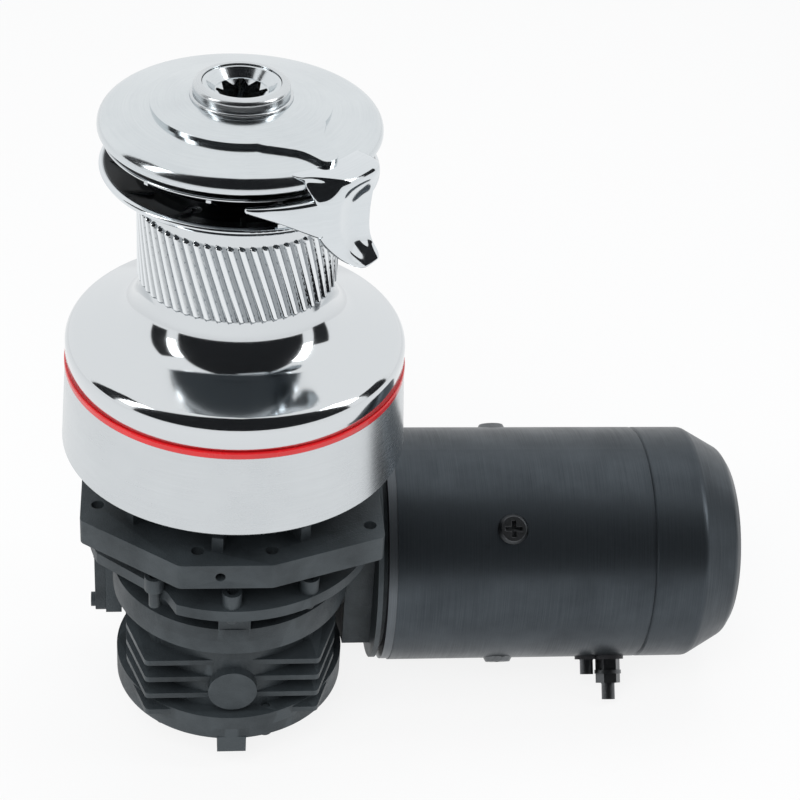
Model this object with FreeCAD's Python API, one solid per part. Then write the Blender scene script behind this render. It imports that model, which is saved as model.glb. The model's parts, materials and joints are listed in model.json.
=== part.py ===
import FreeCAD, Part
import math
import os

# Electric self-tailing winch: a chromed drum winch that stands on a deck, with a worm gearbox and a
# horizontal electric motor hanging below the deck. Millimetres, +Z up. The origin is on the drum's
# axis at deck level, where the skirt ring's lower edge stands. The motor's axis runs along +X.

# Clearances
RUN_FIT = 0.05           # radial gap of a shaft that turns in a bush
SIDE_GAP = 0.3           # gap between a turning piece and the fixed one beside it
DRUM_GAP = 0.5           # visible joint between the fixed trim ring and the turning drum

# Fixed skirt ring, trim ring and base plate
SKIRT_R_BOTTOM = 91.0
SKIRT_R_TOP = 88.4
SKIRT_HEIGHT = 46.1
SKIRT_BORE = 84.5
TRIM_HEIGHT = 3.7
TRIM_PROUD = 0.25
BASE_THICK = 12.0
DECK_HOLE_COUNT = 6
DECK_HOLE_R = 3.25
DECK_PCD = 150.0
DECK_CHANNEL_DEPTH = 2.0

# Gear train in the base: every gear has the same module
MODULE = 2.0
BACKLASH = 0.3
PRESSURE_ANGLE = 20.0
RING_TEETH = 64
PLANET_TEETH = 16
HIGH_TEETH = 32
LOW_TEETH = 16
IDLER_TEETH = 16
LAY_TEETH = 24
PLANET_ANGLE = 20.0      # direction of the low gear's lay shaft, from +X
PIN_R = 6.0
LOW_LEVEL = 16.0         # underside of the lower row of gears
LOW_FACE = 17.0
HIGH_LEVEL = 40.0        # underside of the upper row of gears
HIGH_FACE = 15.0

# Gear housing and hollow stem that carries the drum
HOUSING_R = 59.0
HOUSING_TOP = 65.0
STEM_R = 32.0
SEAT_R = 34.0
STEM_TOP = 176.0
STEM_NECK_R = 26.0
STEM_BORE = 14.0
ROLLER_R = 2.92
ROLLER_LENGTH = 14.0
ROLLER_COUNT = 22
CAGE_WALL = 2.4
LOWER_BEARING_Z = 71.0
UPPER_BEARING_Z = 131.0

# Drum
DRUM_R = 49.0
DRUM_TOP = 150.0
DRUM_LIP_R = 88.0
CONE_SLOPE = 0.38
CONE_FILLET = 22.0
SHOULDER_FILLET = 8.0
CONE_FOOT_Z = 65.6
DRUM_BORE = 42.0
RIB_COUNT = 55
RIB_HEIGHT = 1.4
RIB_WIDTH = 3.3
RIB_BOTTOM = 99.5
RIB_TOP = 142.5
RIB_SLANT = 16.0
RING_GEAR_WALL = 5.5

# Self-tailing jaws
JAW_RIM_R = 69.2
LOWER_RIM_Z = 162.5
UPPER_JAW_RIM_R = 67.3
UPPER_RIM_Z = 178.6
JAW_HUB_R = 36.0
JAW_BORE = 28.5
GROOVE_R = 48.0
GRIP_RIBS = 12
JAW_TRAVEL = 3.0
SPRING_COUNT = 6
RETAINER_THICK = 2.6
RETAINER_R = 46.0

# Self-tailing arm, its cover and the handle socket
ARM_R = 69.0
ARM_BOTTOM = 181.8
ARM_EDGE_Z = 189.0
ARM_TOP_Z = 196.0
ARM_CROWN_R = 25.0
FINGER_ANGLE = -50.0
FINGER_IN_R = 70.6
FINGER_OUT_R = 74.6
COVER_R = 44.0
COVER_RAISE = 2.4
TAIL_ANGLE = -52.0
TAIL_REACH = 67.5
COLLAR_R = 25.0
SOCKET_RING_R = 23.5
SOCKET_TOP = 206.0
SOCKET_MOUTH_R = 16.5
STAR_R = 12.4
STAR_ROOT_R = 9.4
STAR_POINTS = 8
SOCKET_DEPTH = 32.0

# Main spindle
SPINDLE_R = 11.0
SPINDLE_HEAD_R = 19.0
FLANGE_R = 22.0
RATCHET_TEETH = 12
RATCHET_DEPTH = 2.8
HIGH_RATCHET_PHASE = 14.0

# Gearbox below the deck
DECK_DROP = 26.0         # deck level to the gearbox's flat top
TOP_PLATE_THICK = 15.0
HUB_R = 58.0
SPIGOT = 0.5             # step of the gearbox's hub in the base plate's recess
LOWER_PLATE_R = 79.0
LOWER_PLATE_TOP = 60.0   # depths below deck level
LOWER_PLATE_THICK = 6.8
RING_FLANGE_R = 66.0
RING_FLANGE_TOP = 84.0
FLANGE_THICK = 8.5
BODY_CORE_R = 56.0
FIN_COUNT = 4
FIN_FIRST = 115.5
FIN_PITCH = 12.0
FIN_THICK = 3.4
FIN_FRONT = 55.0
FIN_HALF_WIDTH = 47.5
BOSS_R = 13.4
BOSS_DEPTH = 133.5
BOSS_PROUD = 6.0
FOOT_FLANGE_R = 64.5
FOOT_FLANGE_TOP = 150.0
COVER_THICK = 7.0
TAB_WIDTH = 16.0
TAB_DROP = 10.0
WALL = 6.0

# Worm drive
WORM_CENTRE = 45.0       # worm axis behind the winch's axis
WORM_DEPTH = 115.3       # worm axis below deck level
WHEEL_TEETH = 34
WORM_STARTS = 1
WORM_HALF_LENGTH = 26.0
WORM_BACKLASH = 0.8
WHEEL_FACE = 12.0
DRIVE_SHAFT_R = 10.0
WORM_SHAFT_R = 7.0
BEARING_R = 17.5
BEARING_WIDTH = 11.0
BEARING_X = 47.0
BALL_COUNT = 9
BALL_R = 2.6
TUNNEL_WALL = 6.5
LUG_HALF = 27.5
LUG_END = 77.0
LUG_THICK = 6.0

# Motor
MOTOR_R = 68.5
ADAPTER_END = 85.0
NECK_HALF = 41.5
MOTOR_START = 93.0
MOTOR_SEAM = 240.0
CAP_STRAIGHT = 30.0
CAP_ROUND = 16.0
MOTOR_END = 295.0
YOKE_WALL = 6.5
MAGNET_THICK = 9.5
AIR_GAP = 1.0
CORE_LENGTH = 90.0
CORE_SLOTS = 14
COMMUTATOR_R = 22.0
COMMUTATOR_LENGTH = 22.0
CORE_MIDDLE = 159.5      # place of the core's middle along X
POLE_SCREW_R = 8.7
POLE_SCREW_X = 158.0
STUD_R = 3.9
STUD_SHANK_R = 4.1       # under the nuts and in the insulators
STUD_GAP = 0.05
STUD_SHOULDER = 0.5      # the shank ends this far outside the outer nut or the insulator
NUT_FACE = 15.8          # outer nut's outer face, from the yoke's surface
INSULATOR_FACE = 1.8
STUD_LENGTH = 25.5
STUB_LENGTH = 10.6
TERMINAL_X = 225.0       # place of the main terminal along X
STUB_X = 212.2
TERMINAL_SWING = -42.0   # turn of the terminals about the motor's axis, from straight down


def vec(x, y, z=0.0):
    return FreeCAD.Vector(x, y, z)


def moved(shape, x=0.0, y=0.0, z=0.0):
    copy = shape.copy()
    copy.translate(vec(x, y, z))
    return copy


def turned(shape, degrees, centre=(0, 0, 0), axis=(0, 0, 1)):
    copy = shape.copy()
    copy.rotate(vec(*centre), vec(*axis), degrees)
    return copy


def cyl(radius, low, high, x=0.0, y=0.0):
    return Part.makeCylinder(radius, high - low, vec(x, y, low))


def ring(outer, inner, low, high, x=0.0, y=0.0):
    return cyl(outer, low, high, x, y).cut(cyl(inner, low - 1.0, high + 1.0, x, y))


def rod_x(radius, start, end, y=0.0, z=0.0):
    return Part.makeCylinder(radius, end - start, vec(start, y, z), vec(1, 0, 0))


def tube_x(outer, inner, start, end, y=0.0, z=0.0):
    return rod_x(outer, start, end, y, z).cut(rod_x(inner, start - 1.0, end + 1.0, y, z))


def block(x0, x1, y0, y1, z0, z1):
    return Part.makeBox(x1 - x0, y1 - y0, z1 - z0, vec(x0, y0, z0))


def polar(radius, degrees):
    angle = math.radians(degrees)
    return radius * math.cos(angle), radius * math.sin(angle)


def rounded_wire(corners):
    """A closed wire in XY. Each corner is (x, y) or (x, y, radius), rounded by a tangent arc."""
    edges = []
    ends = []
    count = len(corners)
    for i, corner in enumerate(corners):
        here = vec(corner[0], corner[1])
        radius = corner[2] if len(corner) > 2 else 0.0
        before = vec(*corners[i - 1][:2])
        after = vec(*corners[(i + 1) % count][:2])
        back = (before - here).normalize()
        ahead = (after - here).normalize()
        half = back.getAngle(ahead) / 2.0
        if radius <= 0.0 or abs(half - math.pi / 2.0) < 1e-6:
            ends.append((here, here))
            continue
        reach = radius / math.tan(half)
        start = here + back * reach
        finish = here + ahead * reach
        middle = here + (back + ahead).normalize() * (radius / math.sin(half) - radius)
        edges.append((i, Part.Arc(start, middle, finish).toShape()))
        ends.append((start, finish))
    arcs = dict(edges)
    chain = []
    for i in range(count):
        if i in arcs:
            chain.append(arcs[i])
        start = ends[i][1]
        finish = ends[(i + 1) % count][0]
        if (finish - start).Length > 1e-6:
            chain.append(Part.makeLine(start, finish))
    return Part.Wire(chain)


def prism(corners, low, high):
    face = Part.Face(rounded_wire(corners))
    return moved(face, z=low).extrude(vec(0, 0, high - low))


def revolved(corners, degrees=360.0):
    """Turns an outline of (radius, height) corners about Z."""
    face = Part.Face(rounded_wire(corners))
    face.rotate(vec(0, 0), vec(1, 0, 0), 90.0)
    return face.revolve(vec(0, 0), vec(0, 0, 1), degrees)


def revolved_x(corners, y=0.0, z=0.0):
    """Turns an outline of (place along X, radius) corners about an axis along X."""
    face = Part.Face(rounded_wire(corners))
    solid = face.revolve(vec(0, 0), vec(1, 0, 0), 360.0)
    return moved(solid, 0.0, y, z)


def around(shape, count, start=0.0):
    return [turned(shape, start + 360.0 * i / count) for i in range(count)]


def fused(shapes):
    first = shapes[0]
    if len(shapes) == 1:
        return first
    return first.multiFuse(shapes[1:]).removeSplitter()


def group(shapes):
    return Part.makeCompound(shapes)


def socket_screw(head_r, head_h, thread_r, length):
    """A socket head cap screw on Z: its head's seat is at zero, and its thread points down."""
    head = cyl(head_r, 0.0, head_h)
    key = prism([polar(head_r * 0.55, 60.0 * i) for i in range(6)], head_h * 0.4, head_h + 1.0)
    return head.fuse(cyl(thread_r, -length, 0.0)).cut(key)


# Gears

def involute(base_r, radius):
    if radius <= base_r:
        return 0.0
    roll = math.sqrt((radius / base_r) ** 2 - 1.0)
    return roll - math.atan(roll)


def gear_points(teeth, thin, phase, tip, root):
    """Corners of a spur gear: flanks follow the involute through root, base, pitch and tip."""
    pitch_r = MODULE * teeth / 2.0
    base_r = pitch_r * math.cos(math.radians(PRESSURE_ANGLE))
    tip_r = pitch_r + tip * MODULE
    root_r = pitch_r - root * MODULE
    half = (math.pi * MODULE / 2.0 - thin) / (2.0 * pitch_r)
    flank = sorted({root_r, max(base_r, root_r), pitch_r, tip_r})
    corners = []
    for i in range(teeth):
        middle = math.radians(phase + 360.0 * i / teeth)
        for side, radii in ((-1.0, flank), (1.0, flank[::-1])):
            for radius in radii:
                open_angle = half + involute(base_r, pitch_r) - involute(base_r, radius)
                angle = middle + side * open_angle
                corners.append(vec(radius * math.cos(angle), radius * math.sin(angle)))
    return corners


def gear_prism(teeth, phase, low, high, x=0.0, y=0.0, thin=None, tip=0.93, root=1.2):
    thin = BACKLASH / 2.0 if thin is None else thin
    corners = gear_points(teeth, thin, phase, tip, root)
    face = Part.Face(Part.makePolygon(corners + corners[:1]))
    return moved(face, x, y, low).extrude(vec(0, 0, high - low))


def mesh_phase(direction, phase, teeth, other_teeth):
    """Phase of a gear that meshes with another one which lies in the given direction from it."""
    step = (direction - phase) * teeth / 360.0
    return direction + 180.0 - (0.5 - step) * 360.0 / other_teeth


def ratchet_points(inner, outer, phase):
    step = 360.0 / RATCHET_TEETH
    corners = []
    for i in range(RATCHET_TEETH):
        corners.append(polar(outer, phase + step * i))
        corners.append(polar(inner, phase + step * (i + 0.9)))
    return corners


# Derived places of the gear train
PLANET_PITCH = MODULE * PLANET_TEETH / 2.0
RING_PITCH = MODULE * RING_TEETH / 2.0
HIGH_PITCH = MODULE * HIGH_TEETH / 2.0
LOW_PITCH = MODULE * LOW_TEETH / 2.0
IDLER_PITCH = MODULE * IDLER_TEETH / 2.0
LAY_PITCH = MODULE * LAY_TEETH / 2.0
LAY_CENTRE = RING_PITCH - PLANET_PITCH
IDLER_CENTRE = LOW_PITCH + IDLER_PITCH
IDLER_TO_LAY = IDLER_PITCH + LAY_PITCH
IDLER_SWING = math.degrees(math.acos(
    (IDLER_CENTRE ** 2 + LAY_CENTRE ** 2 - IDLER_TO_LAY ** 2) / (2.0 * IDLER_CENTRE * LAY_CENTRE)))
IDLER_ANGLE = PLANET_ANGLE + IDLER_SWING
HIGH_PLANET_ANGLE = PLANET_ANGLE + 180.0
LAY_X, LAY_Y = polar(LAY_CENTRE, PLANET_ANGLE)
HIGH_X, HIGH_Y = polar(LAY_CENTRE, HIGH_PLANET_ANGLE)
IDLER_X, IDLER_Y = polar(IDLER_CENTRE, IDLER_ANGLE)
IDLER_LOOK = math.degrees(math.atan2(LAY_Y - IDLER_Y, LAY_X - IDLER_X))
LOW_PHASE = IDLER_ANGLE
IDLER_PHASE = mesh_phase(IDLER_ANGLE, LOW_PHASE, LOW_TEETH, IDLER_TEETH)
LAY_PHASE = mesh_phase(IDLER_LOOK, IDLER_PHASE, IDLER_TEETH, LAY_TEETH)
HIGH_PHASE = mesh_phase(HIGH_PLANET_ANGLE, HIGH_PLANET_ANGLE + 180.0, PLANET_TEETH, HIGH_TEETH)
LOW_TOP = LOW_LEVEL + LOW_FACE
HIGH_TOP = HIGH_LEVEL + HIGH_FACE

# Derived heights above deck
TRIM_TOP = SKIRT_HEIGHT + TRIM_HEIGHT
LIP_Z = TRIM_TOP + DRUM_GAP
ROLLER_RING = SEAT_R + (DRUM_BORE - SEAT_R) / 2.0
DRUM_SEAT_R = SEAT_R + 2.0 * ROLLER_R + 0.16
ROLLER_CENTRE = (SEAT_R + DRUM_SEAT_R) / 2.0
RING_OUT_R = RING_PITCH + 1.25 * MODULE + RING_GEAR_WALL

# Derived depths below deck
TOP_PLATE_Z = -DECK_DROP
TOP_PLATE_LOW = TOP_PLATE_Z - TOP_PLATE_THICK
LOWER_PLATE_Z = -LOWER_PLATE_TOP
LOWER_PLATE_LOW = LOWER_PLATE_Z - LOWER_PLATE_THICK
RING_FLANGE_Z = -RING_FLANGE_TOP
BODY_TOP = RING_FLANGE_Z - FLANGE_THICK
BODY_FLANGE_LOW = BODY_TOP - FLANGE_THICK
FOOT_TOP = -FOOT_FLANGE_TOP
BODY_BOTTOM = FOOT_TOP - FLANGE_THICK
COVER_BOTTOM = BODY_BOTTOM - COVER_THICK
WORM_Z = -WORM_DEPTH
WHEEL_PITCH = MODULE * WHEEL_TEETH / 2.0
WORM_PITCH = WORM_CENTRE - WHEEL_PITCH
WORM_TIP = WORM_PITCH + 0.9 * MODULE
WORM_ROOT = WORM_PITCH - 1.25 * MODULE
THREAD_PITCH = math.pi * MODULE
WHEEL_TIP = WHEEL_PITCH + 0.85 * MODULE
WHEEL_ROOT = WHEEL_PITCH - 1.2 * MODULE
CAVITY_R = WHEEL_TIP + 4.0
TUNNEL_BORE = BEARING_R
TUNNEL_R = BEARING_R + TUNNEL_WALL
SCREW_ANGLES = [-91.5 + 34.0 * i for i in (-1, 0, 1)] + [88.5 + 34.0 * i for i in (-1, 0, 1)]
SCREW_PCD_R = LOWER_PLATE_R - 6.0
HUB_BOLT_R = HUB_R - 8.0
HUB_BOLT_ANGLES = [PLANET_ANGLE + 30.0 + 60.0 * i for i in range(6)]


# Fixed pieces above deck

def skirt_ring():
    outline = [(SKIRT_BORE, 0.0), (SKIRT_R_BOTTOM - 1.0, 0.0), (SKIRT_R_BOTTOM, 1.2),
               (SKIRT_R_TOP, SKIRT_HEIGHT), (SKIRT_BORE, SKIRT_HEIGHT)]
    return revolved(outline)


def trim_ring():
    low = SKIRT_HEIGHT
    outline = [(SKIRT_BORE, low), (SKIRT_R_TOP, low), (SKIRT_R_TOP + TRIM_PROUD, low + 0.6),
               (SKIRT_R_TOP + TRIM_PROUD, TRIM_TOP - 0.6), (SKIRT_R_TOP, TRIM_TOP), (SKIRT_BORE, TRIM_TOP)]
    return revolved(outline)


def deck_hole_tools():
    reach = DECK_PCD / 2.0
    hole = cyl(DECK_HOLE_R, -1.0, BASE_THICK + 1.0, reach, 0.0)
    head = cyl(DECK_HOLE_R * 2.0, BASE_THICK - 4.0, BASE_THICK + 1.0, reach, 0.0)
    return around(hole.fuse(head), DECK_HOLE_COUNT)


def pin_places():
    return [(LAY_X, LAY_Y), (HIGH_X, HIGH_Y), (IDLER_X, IDLER_Y)]


def base_plate():
    plate = cyl(SKIRT_BORE, 0.0, BASE_THICK)
    cuts = deck_hole_tools()
    cuts.append(cyl(SPINDLE_R + 4.0, -1.0, BASE_THICK + 1.0))
    cuts.append(cyl(HUB_R + SIDE_GAP, -1.0, SPIGOT))
    cuts += [cyl(PIN_R, 3.0, BASE_THICK + 1.0, x, y) for x, y in pin_places()]
    cuts += hub_bolt_holes(-1.0, BASE_THICK - 2.0)
    cuts += base_screw_holes()
    return plate.cut(group(cuts))


def hub_bolt_holes(low, high, extra=0.0):
    holes = []
    for angle in HUB_BOLT_ANGLES:
        x, y = polar(HUB_BOLT_R, angle)
        holes.append(cyl(3.5 + extra, low, high, x, y))
    return holes


def base_screw_angles():
    return [PLANET_ANGLE + step for step in (-40.0, -70.0, -100.0, -130.0, 100.0, 140.0)]


def base_screw_holes():
    reach = HOUSING_R - 5.0
    holes = []
    for angle in base_screw_angles():
        x, y = polar(reach, angle)
        holes.append(cyl(2.5, -1.0, HOUSING_TOP / 2.0, x, y))
        holes.append(cyl(4.6, -1.0, 5.2, x, y))
    return holes


def base_screws():
    reach = HOUSING_R - 5.0
    screw = turned(socket_screw(4.4, 4.6, 2.5, 20.0), 180.0, axis=(1, 0, 0))
    return group([moved(screw, *polar(reach, angle), 5.2) for angle in base_screw_angles()])


def gear_housing():
    roof = HOUSING_TOP
    body = cyl(HOUSING_R, BASE_THICK, roof)
    low_seat = LOWER_BEARING_Z
    up_seat = UPPER_BEARING_Z
    stem = revolved([
        (0.0, roof - 6.0), (HOUSING_R - 12.0, roof - 6.0), (HOUSING_R - 12.0, roof),
        (SEAT_R + 4.0, roof, 2.0), (SEAT_R + 4.0, low_seat - 1.0), (SEAT_R, low_seat - 1.0),
        (SEAT_R, low_seat + ROLLER_LENGTH + 3.0), (STEM_R, low_seat + ROLLER_LENGTH + 5.0),
        (STEM_R, up_seat - 3.0), (SEAT_R, up_seat - 1.0), (SEAT_R, up_seat + ROLLER_LENGTH + 1.0),
        (STEM_NECK_R, up_seat + ROLLER_LENGTH + 3.0), (STEM_NECK_R, STEM_TOP), (0.0, STEM_TOP)])
    room = 2.0
    cuts = [cyl(STEM_BORE, BASE_THICK - 1.0, STEM_TOP + 1.0)]
    cuts.append(cyl(HIGH_PITCH + MODULE + room, HIGH_LEVEL - 1.5, HIGH_TOP + 1.0))
    cuts.append(cyl(LOW_PITCH + MODULE + room + 0.7, BASE_THICK - 1.0, HIGH_LEVEL))
    for x, y in ((LAY_X, LAY_Y), (HIGH_X, HIGH_Y)):
        cuts.append(cyl(PLANET_PITCH + MODULE + room, HIGH_LEVEL - 1.5, HIGH_TOP + 1.0, x, y))
    cuts.append(cyl(LAY_PITCH + MODULE + room, BASE_THICK - 1.0, HIGH_LEVEL, LAY_X, LAY_Y))
    cuts.append(cyl(IDLER_PITCH + MODULE + room, BASE_THICK - 1.0, LOW_TOP + 1.0, IDLER_X, IDLER_Y))
    cuts.append(cyl(PIN_R + 3.0, BASE_THICK - 1.0, HIGH_LEVEL, HIGH_X, HIGH_Y))
    cuts += [cyl(PIN_R, BASE_THICK, HIGH_TOP + 6.0, x, y) for x, y in pin_places()[:2]]
    cuts.append(cyl(PIN_R, BASE_THICK, LOW_TOP + 4.0, IDLER_X, IDLER_Y))
    cuts += base_screw_holes()
    cuts.append(cyl(STEM_BORE + 2.5, STEM_TOP - 16.0, STEM_TOP + 1.0))
    return body.fuse(stem).cut(fused(cuts))


def gear_pins():
    tops = [HIGH_TOP + 6.0, HIGH_TOP + 6.0, LOW_TOP + 4.0]
    pins = []
    for (x, y), top in zip(pin_places(), tops):
        collar = cyl(PIN_R + 3.0, BASE_THICK, LOW_LEVEL - SIDE_GAP, x, y)
        pins.append(cyl(PIN_R, 3.0, top, x, y).fuse(collar))
    x, y = pin_places()[1]
    pins[1] = pins[1].fuse(cyl(PIN_R + 3.0, BASE_THICK, HIGH_LEVEL - SIDE_GAP, x, y))
    return group(pins)


def spindle_bushes():
    lower = ring(SPINDLE_R + 4.0, SPINDLE_R + RUN_FIT, 0.0, BASE_THICK)
    upper = ring(STEM_BORE + 2.5, SPINDLE_R + RUN_FIT, STEM_TOP - 16.0, STEM_TOP)
    return group([lower, upper])


def crown_z(radius):
    """Height of the arm's gently crowned top at a radius."""
    share = (radius - ARM_CROWN_R) / (ARM_R - ARM_CROWN_R)
    return ARM_TOP_Z + (ARM_EDGE_Z - ARM_TOP_Z) * share


def arm_plate():
    hub_r = STEM_NECK_R
    return revolved([
        (SPINDLE_HEAD_R + 0.6, STEM_TOP), (hub_r, STEM_TOP), (hub_r, ARM_BOTTOM + 4.0, 2.0),
        (ARM_R - 7.0, ARM_BOTTOM + 3.0), (ARM_R - 4.5, ARM_BOTTOM), (ARM_R - 0.6, ARM_BOTTOM, 1.5),
        (ARM_R + 0.3, ARM_BOTTOM + 4.0, 3.0), (ARM_R - 3.0, crown_z(ARM_R - 3.0), 5.0),
        (ARM_CROWN_R, ARM_TOP_Z), (SPINDLE_HEAD_R + 0.6, ARM_TOP_Z)])


def finger():
    """The guide that hangs from the arm's rim, outside the jaws, and leads the line into them."""
    shell = revolved([(FINGER_IN_R, ARM_BOTTOM - 60.0), (FINGER_OUT_R, ARM_BOTTOM - 60.0),
                      (FINGER_OUT_R, ARM_BOTTOM + 6.0), (FINGER_IN_R, ARM_BOTTOM + 6.0)])
    side = [(-42.0, -4.0), (-16.0, -25.0, 6.0), (3.0, -30.0, 8.0), (9.0, -46.0, 8.0),
            (17.0, -52.0, 6.0), (31.0, -51.0, 4.0), (27.0, -38.0, 12.0), (23.5, -16.0, 14.0),
            (30.0, 6.0, 6.0), (30.0, 7.0), (-42.0, 7.0)]
    outline = Part.Face(rounded_wire(side))
    outline.rotate(vec(0, 0), vec(1, 0, 0), 90.0)
    outline.rotate(vec(0, 0), vec(0, 0, 1), 90.0)
    slab = outline.extrude(vec(FINGER_OUT_R + 10.0, 0, 0))
    slab = turned(moved(slab, z=ARM_BOTTOM), FINGER_ANGLE)
    guide = shell.common(slab)
    shoulder = ARM_R + 1.0
    bridge = revolved([(ARM_R - 6.0, ARM_BOTTOM), (FINGER_OUT_R, ARM_BOTTOM),
                       (FINGER_OUT_R, crown_z(shoulder) - 3.0, 2.0), (shoulder, crown_z(shoulder), 4.0),
                       (ARM_R - 9.0, crown_z(ARM_R - 9.0)), (ARM_R - 9.0, ARM_BOTTOM + 4.0)])
    wedge = prism([(0.0, 0.0), (100.0, -54.0), (100.0, 44.0)], ARM_BOTTOM - 1.0, ARM_EDGE_Z + 1.0)
    bridge = bridge.common(turned(wedge, FINGER_ANGLE))
    return guide.fuse(bridge)


def tailing_arm():
    body = arm_plate().fuse(finger()).removeSplitter()
    cuts = [moved(hole, z=-20.0) for hole in stripper_screw_holes()]
    return body.cut(group(cuts))


def stripper_screw_holes():
    holes = []
    for step in (-14.0, -7.0):
        hole = Part.makeCylinder(1.6, 20.0, vec(FINGER_OUT_R - 12.0, 0, 0), vec(1, 0, 0))
        holes.append(turned(moved(hole, z=STRIPPER_Z + 20.0), FINGER_ANGLE + step))
    return holes


STRIPPER_Z = 165.8       # middle height of the line stripper in the jaws' groove
STRIPPER_HALF = 1.0


def line_stripper():
    plate = ring(FINGER_IN_R, GROOVE_R + 7.0, STRIPPER_Z - STRIPPER_HALF, STRIPPER_Z + STRIPPER_HALF)
    wedge = prism([(0.0, 0.0), (100.0, -52.0), (100.0, -2.0)], STRIPPER_Z - 5.0, STRIPPER_Z + 5.0)
    plate = plate.common(turned(wedge, FINGER_ANGLE))
    return plate.cut(group([moved(hole, z=-20.0) for hole in stripper_screw_holes()]))


def stripper_screws():
    screws = []
    for step in (-14.0, -7.0):
        shank = Part.makeCylinder(1.6, 12.0, vec(FINGER_OUT_R - 12.0, 0, STRIPPER_Z), vec(1, 0, 0))
        head = Part.makeCone(3.0, 2.4, 1.2, vec(FINGER_OUT_R, 0, STRIPPER_Z), vec(1, 0, 0))
        screws.append(turned(shank.fuse(head), FINGER_ANGLE + step))
    return group(screws)


def tail_cover():
    """Round cover with a tongue that points along the arm to the guide."""
    slab = revolved([
        (COLLAR_R, crown_z(COLLAR_R)), (ARM_R + 2.0, crown_z(ARM_R + 2.0)),
        (ARM_R + 2.0, crown_z(ARM_R + 2.0) + COVER_RAISE), (COLLAR_R, crown_z(COLLAR_R) + COVER_RAISE)])
    disc = cyl(COVER_R, ARM_EDGE_Z - 4.0, ARM_TOP_Z + 4.0)
    tail = prism([(30.0, 31.0, 12.0), (50.0, 8.0, 22.0), (TAIL_REACH - 1.0, 5.0, 5.0),
                  (TAIL_REACH - 1.0, -4.0, 4.0), (54.0, -7.5, 18.0), (36.0, -25.0, 16.0), (10.0, -20.0)],
                 ARM_EDGE_Z - 4.0, ARM_TOP_Z + 4.0)
    shape = disc.fuse(turned(tail, TAIL_ANGLE))
    plan = shape.cut(cyl(COLLAR_R, ARM_EDGE_Z - 5.0, ARM_TOP_Z + 5.0))
    return slab.common(plan)


def socket_collar():
    top = SOCKET_TOP
    bore = SPINDLE_HEAD_R + SIDE_GAP
    return revolved([
        (bore, ARM_TOP_Z), (COLLAR_R, ARM_TOP_Z), (COLLAR_R, ARM_TOP_Z + 4.2, 1.0),
        (SOCKET_RING_R - 0.6, ARM_TOP_Z + 4.2), (SOCKET_RING_R - 0.6, ARM_TOP_Z + 5.2),
        (SOCKET_RING_R, ARM_TOP_Z + 5.4), (SOCKET_RING_R, top, 2.5), (bore, top)])


# Drum and what turns with it

def drum_outline():
    rise = CONE_SLOPE
    cone_top = CONE_FOOT_Z + (DRUM_LIP_R - DRUM_R) * rise
    inner_top = DRUM_TOP
    ring_seat = RING_OUT_R
    return [
        (DRUM_BORE, inner_top), (DRUM_R, inner_top), (DRUM_R, cone_top, CONE_FILLET),
        (DRUM_LIP_R, CONE_FOOT_Z, SHOULDER_FILLET), (DRUM_LIP_R, LIP_Z), (DRUM_LIP_R - 3.6, LIP_Z),
        (DRUM_LIP_R - 3.6, LIP_Z + 6.0, 3.0), (ring_seat + 5.0, LIP_Z + 8.0, 2.0),
        (ring_seat + 5.0, HIGH_LEVEL - 1.0), (ring_seat, HIGH_LEVEL - 1.0), (ring_seat, HIGH_TOP),
        (HOUSING_R + 4.0, HIGH_TOP, 2.0), (HOUSING_R + 4.0, HOUSING_TOP + 2.5, 3.0),
        (DRUM_SEAT_R, LOWER_BEARING_Z - 3.5), (DRUM_SEAT_R, LOWER_BEARING_Z + ROLLER_LENGTH + 2.0),
        (DRUM_BORE, LOWER_BEARING_Z + ROLLER_LENGTH + 4.0), (DRUM_BORE, UPPER_BEARING_Z - 4.0),
        (DRUM_SEAT_R, UPPER_BEARING_Z - 2.0), (DRUM_SEAT_R, UPPER_BEARING_Z + ROLLER_LENGTH + 1.0),
        (DRUM_BORE, UPPER_BEARING_Z + ROLLER_LENGTH + 3.0)]


def drum_rib():
    """One slanted rib, a straight bar with pointed ends laid on the barrel at -Y."""
    half = (RIB_TOP - RIB_BOTTOM) / 2.0
    wide = RIB_WIDTH / 2.0
    end = wide * 0.8
    face = Part.Face(rounded_wire([(-wide, -half + end), (0.0, -half), (wide, -half + end),
                                   (wide, half - end), (0.0, half), (-wide, half - end)]))
    face.rotate(vec(0, 0), vec(1, 0, 0), 90.0)
    bar = moved(face, 0.0, -(DRUM_R - 2.0), 0.0).extrude(vec(0, -(2.0 + RIB_HEIGHT), 0))
    bar = turned(bar, -RIB_SLANT, axis=(0, 1, 0))
    return moved(bar, z=(RIB_TOP + RIB_BOTTOM) / 2.0)


def drum():
    body = revolved(drum_outline())
    ribs = around(drum_rib(), RIB_COUNT)
    holes = [cyl(2.1, DRUM_TOP - 14.0, DRUM_TOP + 1.0, *polar(JAW_SCREW_R, a)) for a in JAW_SCREW_ANGLES]
    return body.multiFuse(ribs).cut(group(holes))


def ring_gear():
    blank = cyl(RING_OUT_R, HIGH_LEVEL, HIGH_TOP)
    tool = gear_prism(RING_TEETH, PLANET_ANGLE, HIGH_LEVEL - 1.0, HIGH_TOP + 1.0,
                      thin=-BACKLASH / 2.0, tip=1.2, root=0.93)
    return blank.cut(tool)


JAW_SCREW_R = (DRUM_BORE + DRUM_R) / 2.0
JAW_SCREW_ANGLES = [60.0 * i for i in range(6)]
GRIP_HEIGHT = 1.4


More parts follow.
